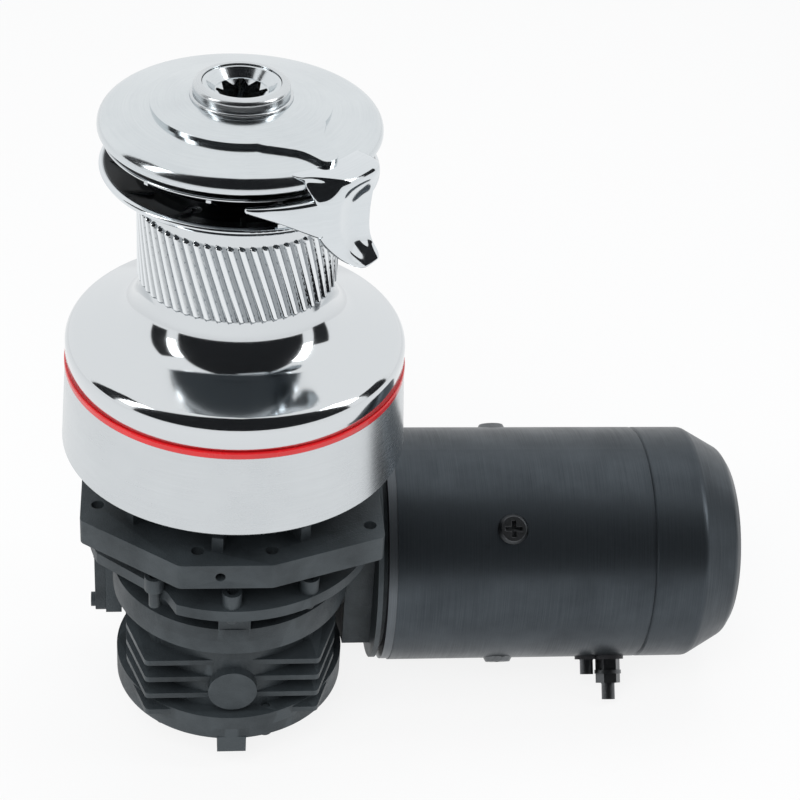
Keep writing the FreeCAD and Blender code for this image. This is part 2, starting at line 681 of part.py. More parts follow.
def grip_ribs(low_in, low_out, down):
    """Radial gripping ribs on a jaw's face, between the groove's floor and its mouth."""
    inner = GROOVE_R + 1.0
    outer = JAW_RIM_R - 5.0
    sign = -1.0 if down else 1.0
    side = [(inner, low_in - sign * 1.5), (outer, low_out - sign * 1.5),
            (outer, low_out + sign * 0.4), (inner, low_in + sign * GRIP_HEIGHT)]
    face = Part.Face(rounded_wire(side))
    face.rotate(vec(0, 0), vec(1, 0, 0), 90.0)
    bar = moved(face, 0.0, 1.2, 0.0).extrude(vec(0, -2.4, 0))
    return around(bar, GRIP_RIBS, 15.0 if down else 0.0)


def lower_jaw():
    rim = LOWER_RIM_Z
    floor = DRUM_TOP + 7.5
    body = revolved([
        (JAW_BORE, DRUM_TOP), (DRUM_R, DRUM_TOP), (DRUM_R + 3.0, DRUM_TOP + 1.5, 4.0),
        (JAW_RIM_R - 1.5, rim - 3.0, 2.0), (JAW_RIM_R, rim, 1.2), (JAW_RIM_R - 2.5, rim + 1.2, 1.0),
        (GROOVE_R + 4.0, floor + 0.5, 4.0), (GROOVE_R - 3.0, floor), (JAW_HUB_R, floor),
        (JAW_HUB_R, UPPER_RIM_Z - 2.0), (JAW_BORE, UPPER_RIM_Z - 2.0)])
    ribs = grip_ribs(floor + 0.2, rim - 0.2, down=False)
    cuts = []
    for angle in JAW_SCREW_ANGLES:
        x, y = polar(JAW_SCREW_R, angle)
        cuts.append(cyl(2.1, DRUM_TOP - 1.0, floor + 1.0, x, y))
        cuts.append(cyl(3.8, floor - 4.0, floor + 3.0, x, y))
    for angle in RETAINER_ANGLES:
        cuts.append(cyl(1.3, UPPER_RIM_Z - 12.0, UPPER_RIM_Z, *polar(RETAINER_SCREW_R, angle)))
    return body.multiFuse(ribs).cut(group(cuts))


RETAINER_SCREW_R = (JAW_HUB_R + JAW_BORE) / 2.0
RETAINER_ANGLES = [30.0 + 60.0 * i for i in range(6)]


def jaw_screws():
    floor = DRUM_TOP + 7.5
    screw = socket_screw(3.6, 3.8, 2.1, 13.0)
    screws = [moved(screw, *polar(JAW_SCREW_R, angle), floor - 4.0) for angle in JAW_SCREW_ANGLES]
    small = socket_screw(2.4, 1.8, 1.3, 9.0)
    top = UPPER_RIM_Z - 2.0 + RETAINER_THICK - 1.8
    screws += [moved(small, *polar(RETAINER_SCREW_R, angle), top) for angle in RETAINER_ANGLES]
    return group(screws)


def jaw_retainer():
    low = UPPER_RIM_Z - 2.0
    plate = ring(RETAINER_R, JAW_BORE, low, low + RETAINER_THICK)
    cuts = []
    for angle in RETAINER_ANGLES:
        x, y = polar(RETAINER_SCREW_R, angle)
        cuts.append(cyl(1.3, low - 1.0, low + 5.0, x, y))
        cuts.append(cyl(2.5, low + RETAINER_THICK - 1.8, low + 5.0, x, y))
    return plate.cut(group(cuts))


SPRING_RING = (JAW_HUB_R + RETAINER_R) / 2.0
SPRING_R = 3.0
SPRING_WIRE = 0.45
UPPER_JAW_LOW = 164.0    # underside of the upper jaw's hub
SPRING_FLOOR = 167.0


def upper_jaw():
    rim = UPPER_RIM_Z
    hub_top = UPPER_RIM_Z - 2.0 - JAW_TRAVEL - 0.6
    body = revolved([
        (JAW_HUB_R + 0.1, UPPER_JAW_LOW), (GROOVE_R, UPPER_JAW_LOW, 3.0),
        (UPPER_JAW_RIM_R - 2.0, rim - 2.6, 3.0), (UPPER_JAW_RIM_R, rim - 1.2, 0.8),
        (UPPER_JAW_RIM_R - 1.0, rim, 0.8), (GROOVE_R + 2.0, hub_top - 1.0, 3.0),
        (GROOVE_R - 1.0, hub_top), (JAW_HUB_R + 0.1, hub_top)])
    ribs = grip_ribs(UPPER_JAW_LOW + 0.6, rim - 4.4, down=True)
    pocket = cyl(SPRING_R + 0.7, SPRING_FLOOR, hub_top + 1.0, SPRING_RING, 0.0)
    return body.multiFuse(ribs).cut(group(around(pocket, SPRING_COUNT)))


def jaw_springs():
    """Coil springs that press the upper jaw down, of a six-sided wire."""
    low = SPRING_FLOOR + 0.1
    high = UPPER_RIM_Z - 2.0 - 0.1
    turns = 4
    height = high - low - 2.0 * SPRING_WIRE
    helix = Part.makeHelix(height / turns, height, SPRING_R - SPRING_WIRE)
    places = [polar(SPRING_WIRE, 60.0 * i) for i in range(7)]
    section = Part.makePolygon([vec(SPRING_R - SPRING_WIRE + x, 0, z) for x, z in places])
    coil = Part.Wire(helix).makePipeShell([section], True, True)
    coil = moved(coil, SPRING_RING, 0.0, low + SPRING_WIRE)
    return group(around(coil, SPRING_COUNT))


# Roller bearings between the stem and the drum

def bearing_rollers():
    roller = cyl(ROLLER_R, 0.0, ROLLER_LENGTH, ROLLER_CENTRE, 0.0)
    rollers = []
    for level in (LOWER_BEARING_Z, UPPER_BEARING_Z):
        rollers += around(moved(roller, z=level), ROLLER_COUNT)
    return group(rollers)


def bearing_cages():
    cages = []
    pocket = cyl(ROLLER_R + 0.1, -0.1, ROLLER_LENGTH + 0.1, ROLLER_CENTRE, 0.0)
    half = CAGE_WALL / 2.0
    for level in (LOWER_BEARING_Z, UPPER_BEARING_Z):
        cage = ring(ROLLER_CENTRE + half, ROLLER_CENTRE - half, -0.9, ROLLER_LENGTH + 0.9)
        cages.append(moved(cage.cut(group(around(pocket, ROLLER_COUNT))), z=level))
    return group(cages)


# Spindle, pawls and gears

PAWL_ARM = 8.0
PAWL_HALF = 1.5
PAWL_PIVOT = 2.3
LOW_PAWL_ARM = 6.0
LOW_PAWL_HALF = 1.1
LOW_PAWL_PIVOT = 1.8
HIGH_PIVOT_R = 18.0
LOW_PIVOT_R = 10.2
LOW_HUB_R = 13.0
PAWL_LOW_Z = HIGH_LEVEL + 4.0
PAWL_HIGH_Z = HIGH_TOP - 1.0
PAWL_SWING = 20.0
LAY_PAWL_LOW_Z = LOW_LEVEL + 3.0
LAY_PAWL_HIGH_Z = LOW_TOP - 1.0


def pawl(pivot_r, arm, half, pivot, low, high):
    """A pawl beside its hub's rim at angle zero: it points along +Y and swings outwards."""
    bar = block(pivot_r - half, pivot_r + half, 0.0, arm, low, high)
    return bar.fuse(cyl(pivot, low, high, pivot_r, 0.0))


def pawl_pocket(pivot_r, arm, half, pivot, low, high, rim):
    slot = block(pivot_r - half - 0.4, rim + 4.0, 0.0, arm + 0.5, low, high)
    mouth = block(pivot_r, rim + 4.0, -0.2, arm, low, high)
    return slot.fuse(cyl(pivot + RUN_FIT, low, high, pivot_r, 0.0)).fuse(mouth)


def star_points():
    corners = []
    step = 360.0 / STAR_POINTS
    for i in range(STAR_POINTS):
        corners.append(polar(STAR_R, step * i - 5.5))
        corners.append(polar(STAR_R, step * i + 5.5))
        corners.append(polar(STAR_ROOT_R, step * (i + 0.5)))
    return corners


def spindle():
    """Hollow-headed main shaft: handle socket on top, pawl flange and the low gear's teeth below."""
    head_low = STEM_TOP + 2.0
    outline = [
        (0.0, DOG_Z), (SPINDLE_R, DOG_Z), (SPINDLE_R, HIGH_LEVEL + 3.0), (FLANGE_R, HIGH_LEVEL + 3.0),
        (FLANGE_R, HIGH_TOP), (SPINDLE_R + 1.5, HIGH_TOP), (SPINDLE_R + 1.5, STEM_TOP - 18.0),
        (SPINDLE_R, STEM_TOP - 17.0), (SPINDLE_R, head_low - 1.5), (SPINDLE_HEAD_R, head_low),
        (SPINDLE_HEAD_R, SOCKET_TOP - 0.6), (SOCKET_MOUTH_R + 0.5, SOCKET_TOP - 0.6),
        (STAR_R + 0.6, SOCKET_TOP - 4.6), (0.0, SOCKET_TOP - 4.6)]
    shaft = revolved(outline)
    teeth = gear_prism(LOW_TEETH, LOW_PHASE, LOW_LEVEL, LOW_TOP)
    star = prism(star_points(), SOCKET_TOP - SOCKET_DEPTH, SOCKET_TOP)
    funnel = Part.makeCone(STAR_ROOT_R, SOCKET_MOUTH_R, 6.0, vec(0, 0, SOCKET_TOP - 0.6 - 6.0))
    cuts = [star, funnel, slot_tool(RUN_FIT)]
    pocket = pawl_pocket(HIGH_PIVOT_R, PAWL_ARM, PAWL_HALF, PAWL_PIVOT, PAWL_LOW_Z - 0.2,
                         PAWL_HIGH_Z + 5.0, FLANGE_R)
    cuts += around(pocket, 2)
    cuts += [turned(high_spring(0.1), 180.0 * i) for i in range(2)]
    return shaft.fuse(teeth).cut(group(cuts))


DOG_Z = -2.0             # lower end of the spindle, where the drive shaft's tongue enters it
DOG_HEIGHT = 9.0
DOG_HALF = 4.0


def slot_tool(gap):
    return block(-SPINDLE_R - 1.0, SPINDLE_R + 1.0, -DOG_HALF - gap, DOG_HALF + gap,
                 DOG_Z - 1.0, DOG_Z + DOG_HEIGHT + gap)


def high_spring(extra=0.0):
    """Small coil spring below a pawl's arm, drawn as its outer cylinder in its drilled hole."""
    top = HIGH_PIVOT_R - PAWL_HALF - 0.4
    middle = (PAWL_LOW_Z + PAWL_HIGH_Z) / 2.0
    return Part.makeCylinder(1.0 + extra, 3.0 + extra, vec(top - 3.0 - extra, PAWL_ARM * 0.7, middle),
                             vec(1, 0, 0))


def low_spring(extra=0.0):
    top = LOW_PIVOT_R - LOW_PAWL_HALF - 0.4
    middle = (LAY_PAWL_LOW_Z + LAY_PAWL_HIGH_Z) / 2.0
    return Part.makeCylinder(0.7 + extra, 1.6 + extra, vec(top - 1.6 - extra, LOW_PAWL_ARM * 0.7, middle),
                             vec(1, 0, 0))


def high_pawl(index):
    shape = pawl(HIGH_PIVOT_R, PAWL_ARM, PAWL_HALF, PAWL_PIVOT, PAWL_LOW_Z, PAWL_HIGH_Z)
    return turned(shape, 180.0 * index)


def low_pawl(index):
    """A low-gear pawl, drawn swung out into its ratchet tooth."""
    shape = pawl(LOW_PIVOT_R, LOW_PAWL_ARM, LOW_PAWL_HALF, LOW_PAWL_PIVOT, LAY_PAWL_LOW_Z, LAY_PAWL_HIGH_Z)
    shape = turned(shape, -PAWL_SWING, centre=(LOW_PIVOT_R, 0, 0))
    return moved(turned(shape, 180.0 * index), LAY_X, LAY_Y)


def high_pawl_springs():
    return group([turned(high_spring(), 180.0 * i) for i in range(2)])


def low_pawl_springs():
    return group([moved(turned(low_spring(), 180.0 * i), LAY_X, LAY_Y) for i in range(2)])


def gear_high():
    body = gear_prism(HIGH_TEETH, HIGH_PHASE, HIGH_LEVEL, HIGH_TOP)
    bore = cyl(SPINDLE_R + RUN_FIT, HIGH_LEVEL - 1.0, HIGH_TOP)
    inner = FLANGE_R + 0.7
    teeth = prism(ratchet_points(inner, inner + RATCHET_DEPTH, HIGH_RATCHET_PHASE), HIGH_LEVEL + 2.6, HIGH_TOP + 1.0)
    return body.cut(bore).cut(teeth)


def planet_high():
    body = gear_prism(PLANET_TEETH, HIGH_PLANET_ANGLE, HIGH_LEVEL, HIGH_TOP, HIGH_X, HIGH_Y)
    return body.cut(cyl(PIN_R + RUN_FIT, HIGH_LEVEL - 1.0, HIGH_TOP + 1.0, HIGH_X, HIGH_Y))


def idler_low():
    body = gear_prism(IDLER_TEETH, IDLER_PHASE, LOW_LEVEL, LOW_TOP, IDLER_X, IDLER_Y)
    return body.cut(cyl(PIN_R + RUN_FIT, LOW_LEVEL - 1.0, LOW_TOP + 1.0, IDLER_X, IDLER_Y))


def lay_gear_low():
    body = gear_prism(LAY_TEETH, LAY_PHASE, LOW_LEVEL, LOW_TOP, LAY_X, LAY_Y)
    inner = LOW_HUB_R + 0.65
    teeth = prism(ratchet_points(inner, inner + RATCHET_DEPTH, LOW_RATCHET_PHASE), LOW_LEVEL - 1.0,
                  LOW_TOP + 1.0)
    return body.cut(moved(teeth, LAY_X, LAY_Y))


LOW_RATCHET_PHASE = 6.0


def pinion_low():
    teeth = gear_prism(PLANET_TEETH, PLANET_ANGLE, HIGH_LEVEL, HIGH_TOP, LAY_X, LAY_Y)
    hub = cyl(LOW_HUB_R, LOW_LEVEL, HIGH_LEVEL, LAY_X, LAY_Y)
    bore = cyl(PIN_R + RUN_FIT, LOW_LEVEL - 1.0, HIGH_TOP + 1.0, LAY_X, LAY_Y)
    pocket = pawl_pocket(LOW_PIVOT_R, LOW_PAWL_ARM, LOW_PAWL_HALF, LOW_PAWL_PIVOT, LAY_PAWL_LOW_Z - 0.2,
                         LAY_PAWL_HIGH_Z + 0.2, LOW_HUB_R)
    cuts = [bore]
    for i in range(2):
        cuts.append(moved(turned(pocket, 180.0 * i), LAY_X, LAY_Y))
        cuts.append(moved(turned(low_spring(0.1), 180.0 * i), LAY_X, LAY_Y))
    return teeth.fuse(hub).cut(group(cuts))


# Gearbox below the deck

def top_plate_corners():
    front = 82.5
    side = 81.0
    return [(-side, -44.0, 4.0), (-29.5, -front, 6.0), (18.5, -front, 6.0), (side - 3.0, -60.0, 4.0),
            (side - 3.0, 40.0, 8.0), (44.0, 76.0, 8.0), (-44.0, 76.0, 8.0), (-side, 40.0, 8.0)]


def radial_rib(angle, inner, outer, thick, low, high):
    rib = block(inner, outer, -thick / 2.0, thick / 2.0, low, high)
    return turned(rib, angle)


def gearbox_top():
    """Upper casting: the hub that reaches up through the deck, and the polygonal top plate."""
    parts = [prism(top_plate_corners(), TOP_PLATE_LOW, TOP_PLATE_Z)]
    parts.append(cyl(HUB_R, LOWER_PLATE_Z, SPIGOT))
    for angle in (-98.0, -60.0, -140.0, 60.0, 120.0):
        parts.append(radial_rib(angle, HUB_R - 3.0, 72.0, 6.0, TOP_PLATE_Z - 1.0, TOP_PLATE_Z + 9.0))
    body = fused(parts)
    cuts = [cyl(SHAFT_ROOM_R, LOWER_PLATE_Z - 1.0, SPIGOT + 1.0)]
    cuts.append(cyl(SEAL_R, SEAL_Z, SPIGOT + 1.0))
    for x, y in ((-20.0, -70.0), (18.2, -70.0), (-72.0, -31.0), (70.7, -50.0), (-66.0, 34.0), (66.0, 34.0)):
        cuts.append(cyl(3.4, TOP_PLATE_LOW - 1.0, TOP_PLATE_Z + 1.0, x, y))
    drain = Part.makeCylinder(2.6, 14.0, vec(-8.5, -88.0, -33.5), vec(0, 1, 0))
    cuts.append(drain)
    cuts += hub_bolt_holes(LOWER_PLATE_Z - 1.0, SPIGOT + 1.0)
    return body.cut(group(cuts))


def gearbox_lid():
    """Middle casting under the upper one: the lower plate and the ring flange that stands on the body."""
    parts = [cyl(HUB_R, RING_FLANGE_Z - 1.0, LOWER_PLATE_LOW + 1.0)]
    lower = cyl(LOWER_PLATE_R, LOWER_PLATE_LOW, LOWER_PLATE_Z)
    trim = prism([(-100.0, -10.0), (-82.0, -22.0, 4.0), (-36.0, -62.0, 12.0), (-18.0, -100.0),
                  (100.0, -100.0), (100.0, 100.0), (-100.0, 100.0)], LOWER_PLATE_LOW - 1.0, LOWER_PLATE_Z + 1.0)
    parts.append(lower.common(trim))
    parts.append(cyl(RING_FLANGE_R, BODY_TOP, RING_FLANGE_Z))
    for angle in (-90.0, 180.0, 0.0, 90.0):
        parts.append(radial_rib(angle, HUB_R - 4.0, RING_FLANGE_R - 0.5, 17.0, RING_FLANGE_Z - 1.0,
                                LOWER_PLATE_LOW + 1.0))
    body = fused(parts)
    cuts = [cyl(SHAFT_ROOM_R, BODY_TOP - 1.0, LOWER_PLATE_Z + 1.0)]
    for angle in SCREW_ANGLES:
        cuts.append(cyl(SCREW_THREAD_R, LOWER_PLATE_LOW - 1.0, LOWER_PLATE_Z + 1.0,
                        *polar(SCREW_PCD_R, angle)))
    cuts += hub_bolt_holes(BODY_TOP - 1.0, LOWER_PLATE_Z + 1.0)
    cuts += hub_bolt_holes(BODY_TOP - 1.0, BODY_TOP + HUB_HEAD_DEPTH, 2.7)
    return body.cut(group(cuts))


HUB_HEAD_DEPTH = 7.5
SHAFT_ROOM_R = DRIVE_SHAFT_R + 8.0
SEAL_R = 20.0
SEAL_Z = -9.0
SCREW_THREAD_R = 3.0


def hub_bolts():
    """Long bolts from below through both castings into the winch's base plate."""
    head_z = BODY_TOP + HUB_HEAD_DEPTH
    bolt = turned(socket_screw(5.6, 6.0, 3.5, BASE_THICK - 3.0 - head_z), 180.0, axis=(1, 0, 0))
    return group([moved(bolt, *polar(HUB_BOLT_R, angle), head_z) for angle in HUB_BOLT_ANGLES])


def fin_corners(front, wide, back):
    return [(-wide, -front, 3.0), (wide, -front, 3.0), (wide + 11.0, -front + 32.0, 8.0),
            (wide + 12.0, back, 6.0), (-wide - 12.0, back, 6.0), (-wide - 11.0, -front + 32.0, 8.0)]


def gearbox_body():
    """Finned lower casting that holds the worm wheel, with the worm's tunnel across its back."""
    parts = [cyl(RING_FLANGE_R, BODY_FLANGE_LOW, BODY_TOP)]
    core = fin_corners(FIN_FRONT - 15.0, FIN_HALF_WIDTH - 4.0, 20.0)
    parts.append(prism(core, BODY_BOTTOM + 1.0, BODY_FLANGE_LOW + 1.0))
    parts.append(cyl(BODY_CORE_R, BODY_BOTTOM, BODY_FLANGE_LOW + 1.0))
    parts.append(cyl(FOOT_FLANGE_R, BODY_BOTTOM, FOOT_TOP))
    for i in range(FIN_COUNT):
        top = -FIN_FIRST - FIN_PITCH * i
        parts.append(prism(fin_corners(FIN_FRONT, FIN_HALF_WIDTH, 10.0), top - FIN_THICK, top))
    boss_face = FIN_FRONT + BOSS_PROUD
    boss = Part.makeCylinder(BOSS_R, boss_face - 20.0, vec(0, -boss_face, -BOSS_DEPTH), vec(0, 1, 0))
    cone = Part.makeCone(BOSS_R + 2.0, BOSS_R + 22.0, 16.0, vec(0, -FIN_FRONT + 2.0, -BOSS_DEPTH), vec(0, 1, 0))
    parts.append(boss)
    parts.append(cone.common(prism(fin_corners(FIN_FRONT, FIN_HALF_WIDTH, 20.0), FOOT_TOP, BODY_FLANGE_LOW)))
    parts.append(rod_x(TUNNEL_R, -LUG_END + LUG_THICK, RING_FLANGE_R, WORM_CENTRE, WORM_Z))
    lug = block(-LUG_END + LUG_THICK, -RING_FLANGE_R + 4.0, WORM_CENTRE - LUG_HALF, WORM_CENTRE + LUG_HALF,
                WORM_Z - LUG_HALF, WORM_Z + LUG_HALF)
    parts.append(lug)
    body = fused(parts)
    cuts = [cyl(CAVITY_R, WHEEL_LOW - 3.0, WHEEL_HIGH + 3.0)]
    cuts.append(cyl(CAVITY_R, BODY_BOTTOM - 1.0, WHEEL_LOW))
    cuts.append(cyl(DRIVE_SHAFT_R + 8.0, WHEEL_HIGH, BODY_TOP + 1.0))
    cuts.append(rod_x(TUNNEL_BORE, -LUG_END, RING_FLANGE_R + 1.0, WORM_CENTRE, WORM_Z))
    cuts.append(cyl(RING_FLANGE_R + 1.0, BODY_TOP, BODY_TOP + 10.0))
    for angle in FOOT_SCREW_ANGLES:
        cuts.append(cyl(FOOT_SCREW_R, BODY_BOTTOM - 1.0, FOOT_TOP, *polar(FOOT_SCREW_RING, angle)))
    for y, z in lug_screw_places():
        cuts.append(rod_x(2.5, -LUG_END - 1.0, -RING_FLANGE_R + 4.0, y, z))
    return body.cut(group(cuts))


WHEEL_LOW = WORM_Z - WHEEL_FACE / 2.0
WHEEL_HIGH = WORM_Z + WHEEL_FACE / 2.0
FOOT_SCREW_ANGLES = [-131.0 + 60.0 * i for i in range(6)]
FOOT_SCREW_RING = FOOT_FLANGE_R - 7.0
FOOT_SCREW_R = 2.5


def lug_screw_places():
    reach = LUG_HALF - 5.5
    return [(WORM_CENTRE + a * reach, WORM_Z + b * reach) for a in (-1, 1) for b in (-1, 1)]


def worm_end_cover():
    plate = block(-LUG_END, -LUG_END + LUG_THICK, WORM_CENTRE - LUG_HALF, WORM_CENTRE + LUG_HALF,
                  WORM_Z - LUG_HALF, WORM_Z + LUG_HALF)
    edges = [e for e in plate.Edges if abs(e.Vertexes[0].X - e.Vertexes[1].X) > 1.0]
    plate = plate.makeFillet(4.0, edges)
    spigot = tube_x(TUNNEL_BORE, TUNNEL_BORE - 4.0, -LUG_END + LUG_THICK, -BEARING_X - BEARING_WIDTH,
                    WORM_CENTRE, WORM_Z)
    holes = [rod_x(2.5, -LUG_END - 1.0, -LUG_END + LUG_THICK + 1.0, y, z) for y, z in lug_screw_places()]
    return plate.fuse(spigot).cut(group(holes))


def bottom_cover():
    plate = cyl(FOOT_FLANGE_R, COVER_BOTTOM, BODY_BOTTOM)
    spigot = cyl(CAVITY_R - 0.1, BODY_BOTTOM, WHEEL_LOW - WALL)
    tab = block(-TAB_WIDTH / 2.0, TAB_WIDTH / 2.0, -FOOT_FLANGE_R, -FOOT_FLANGE_R + 12.0,
                COVER_BOTTOM - TAB_DROP, COVER_BOTTOM + 1.0)
    body = plate.fuse(spigot).fuse(tab)
    cuts = [cyl(CAVITY_R - 6.0, COVER_BOTTOM + WALL, WHEEL_LOW - WALL + 1.0)]
    for angle in FOOT_SCREW_ANGLES:
        cuts.append(cyl(FOOT_SCREW_R, COVER_BOTTOM - 1.0, BODY_BOTTOM + 1.0, *polar(FOOT_SCREW_RING, angle)))
    body = body.cut(group(cuts))
    post = cyl(DRIVE_SHAFT_R + 8.0, COVER_BOTTOM + WALL - 1.0, WHEEL_LOW - WALL)
    return body.fuse(post).cut(cyl(DRIVE_SHAFT_R + 3.0, COVER_BOTTOM + WALL, WHEEL_LOW))


def gearbox_screws():
    """Screws of the lower plate, the worm's end cover and the bottom cover."""
    screws = []
    plate_screw = socket_screw(5.2, 9.0, SCREW_THREAD_R, LOWER_PLATE_THICK + 4.5)
    for angle in SCREW_ANGLES:
        screws.append(moved(plate_screw, *polar(SCREW_PCD_R, angle), LOWER_PLATE_Z))
    foot = turned(socket_screw(4.2, 4.0, FOOT_SCREW_R, COVER_THICK + 7.0), 180.0, axis=(1, 0, 0))
    for angle in FOOT_SCREW_ANGLES:
        screws.append(moved(foot, *polar(FOOT_SCREW_RING, angle), COVER_BOTTOM))
    lug = turned(socket_screw(4.2, 2.6, 2.5, LUG_THICK + 7.0), -90.0, axis=(0, 1, 0))
    for y, z in lug_screw_places():
        screws.append(moved(lug, -LUG_END, y, z))
    return group(screws)


def wheel_bushes():
    bore = DRIVE_SHAFT_R + RUN_FIT
    lower = ring(DRIVE_SHAFT_R + 3.0, bore, COVER_BOTTOM + WALL, WHEEL_LOW - WALL)
    upper = ring(DRIVE_SHAFT_R + 8.0, bore, WHEEL_HIGH + 3.0, WHEEL_HIGH + 20.0)
    top = ring(DRIVE_SHAFT_R + 8.0, bore, SEAL_Z - 16.0, SEAL_Z - 2.0)
    return group([lower, upper, top])


def shaft_seal():
    return ring(SEAL_R, DRIVE_SHAFT_R + RUN_FIT, SEAL_Z, SEAL_Z + 6.0)


def drive_shaft():
    """Vertical shaft from the worm wheel up to the spindle's slot."""
    low = COVER_BOTTOM + WALL + 0.4
    shaft = cyl(DRIVE_SHAFT_R, low, DOG_Z - 0.2)
    tongue = block(-DRIVE_SHAFT_R, DRIVE_SHAFT_R, -DOG_HALF, DOG_HALF, DOG_Z - 1.0, DOG_Z + DOG_HEIGHT)
    tongue = tongue.common(cyl(DRIVE_SHAFT_R - 0.5, DOG_Z - 1.0, DOG_Z + DOG_HEIGHT))
    keyway = block(DRIVE_SHAFT_R - 2.5, DRIVE_SHAFT_R + 2.0, -2.5, 2.5, WHEEL_LOW, WHEEL_HIGH)
    return shaft.fuse(tongue).cut(keyway)


def wheel_outline(phase):
    corners = []
    half_pitch = THREAD_PITCH / 4.0 - WORM_BACKLASH / 4.0
    slope = math.tan(math.radians(PRESSURE_ANGLE))
    for i in range(WHEEL_TEETH):
        middle = phase + 360.0 * i / WHEEL_TEETH
        for side, radii in ((-1.0, (WHEEL_ROOT, WHEEL_TIP)), (1.0, (WHEEL_TIP, WHEEL_ROOT))):
            for radius in radii:
                half = half_pitch - (radius - WHEEL_PITCH) * slope
                corners.append(vec(*polar(radius, middle + side * math.degrees(half / radius))))
    return corners


def worm_wheel():
    twist = math.degrees(WORM_STARTS * MODULE / 2.0 / WORM_PITCH / WHEEL_PITCH * WHEEL_FACE)
    wires = []
    for share in (-0.5, 0.5):
        corners = wheel_outline(90.0 + share * twist)
        wire = Part.makePolygon(corners + corners[:1])
        wires.append(moved(wire, z=WORM_Z + share * WHEEL_FACE))
    teeth = Part.makeLoft(wires, True, True)
    hub = cyl(DRIVE_SHAFT_R + 7.0, WHEEL_LOW - 2.0, WHEEL_HIGH + 2.0)
    key = block(DRIVE_SHAFT_R - 2.5, DRIVE_SHAFT_R + 1.0, -2.4, 2.4, WHEEL_LOW + 0.5, WHEEL_HIGH - 0.5)
    bore = cyl(DRIVE_SHAFT_R, WHEEL_LOW - 3.0, WHEEL_HIGH + 3.0)
    return teeth.fuse(hub).cut(bore).fuse(key)


def worm_shaft():
    """Motor shaft with the worm cut on it."""
    start = -BEARING_X - BEARING_WIDTH - 1.0
    end = MOTOR_END - 14.0
    core = revolved_x([
        (start, 0.0), (start, WORM_SHAFT_R), (-BEARING_X, WORM_SHAFT_R), (-BEARING_X, WORM_ROOT + 1.0),
        (-WORM_HALF_LENGTH - 3.0, WORM_ROOT + 1.0), (-WORM_HALF_LENGTH - 2.0, WORM_ROOT),
        (WORM_HALF_LENGTH + 2.0, WORM_ROOT), (WORM_HALF_LENGTH + 3.0, WORM_ROOT + 1.0),
        (BEARING_X, WORM_ROOT + 1.0), (BEARING_X, WORM_SHAFT_R), (end, WORM_SHAFT_R), (end, 0.0)])
    slope = math.tan(math.radians(PRESSURE_ANGLE))
    half = THREAD_PITCH / 4.0 - WORM_BACKLASH / 4.0
    top = half - (WORM_TIP - WORM_PITCH) * slope
    foot = half + (WORM_PITCH - WORM_ROOT + 0.5) * slope
    turns = int(2.0 * WORM_HALF_LENGTH / THREAD_PITCH)
    length = turns * THREAD_PITCH
    helix = Part.makeHelix(THREAD_PITCH, length, WORM_PITCH)
    section = Part.makePolygon([
        vec(WORM_ROOT - 0.5, 0, -foot), vec(WORM_TIP, 0, -top), vec(WORM_TIP, 0, top),
        vec(WORM_ROOT - 0.5, 0, foot), vec(WORM_ROOT - 0.5, 0, -foot)])
    thread = Part.Wire(helix).makePipeShell([section], True, True)
    thread = moved(thread, z=-length / 2.0)
    thread = turned(thread, WORM_PHASE)
    thread = turned(thread, 90.0, axis=(0, 1, 0))
    return moved(core.fuse(thread), 0.0, WORM_CENTRE, WORM_Z)


WORM_PHASE = 90.0        # puts a thread space at the wheel's tooth


def bearing_places():
    return [-BEARING_X - BEARING_WIDTH, BEARING_X]


def worm_bearing_outers():
    rings = []
    for start in bearing_places():
        middle = start + BEARING_WIDTH / 2.0
        outer = tube_x(BEARING_R, BEARING_R - 3.4, start, start + BEARING_WIDTH)
        groove = Part.makeTorus(ball_ring(), BALL_R + 0.1, vec(middle, 0, 0), vec(1, 0, 0))
        rings.append(moved(outer.cut(groove), 0.0, WORM_CENTRE, WORM_Z))
    return group(rings)


def ball_ring():
    return (BEARING_R - 3.4 + WORM_SHAFT_R + 3.4) / 2.0


def worm_bearing_inners():
    rings = []
    for start in bearing_places():
        middle = start + BEARING_WIDTH / 2.0
        inner = tube_x(WORM_SHAFT_R + 3.4, WORM_SHAFT_R, start, start + BEARING_WIDTH)
        groove = Part.makeTorus(ball_ring(), BALL_R + 0.1, vec(middle, 0, 0), vec(1, 0, 0))
        rings.append(moved(inner.cut(groove), 0.0, WORM_CENTRE, WORM_Z))
    return group(rings)


def worm_bearing_balls():
    balls = []
    for start in bearing_places():
        middle = start + BEARING_WIDTH / 2.0
        for i in range(BALL_COUNT):
            y, z = polar(ball_ring(), 360.0 * i / BALL_COUNT)
            balls.append(Part.makeSphere(BALL_R, vec(middle, WORM_CENTRE + y, WORM_Z + z)))
    return group(balls)


# Motor

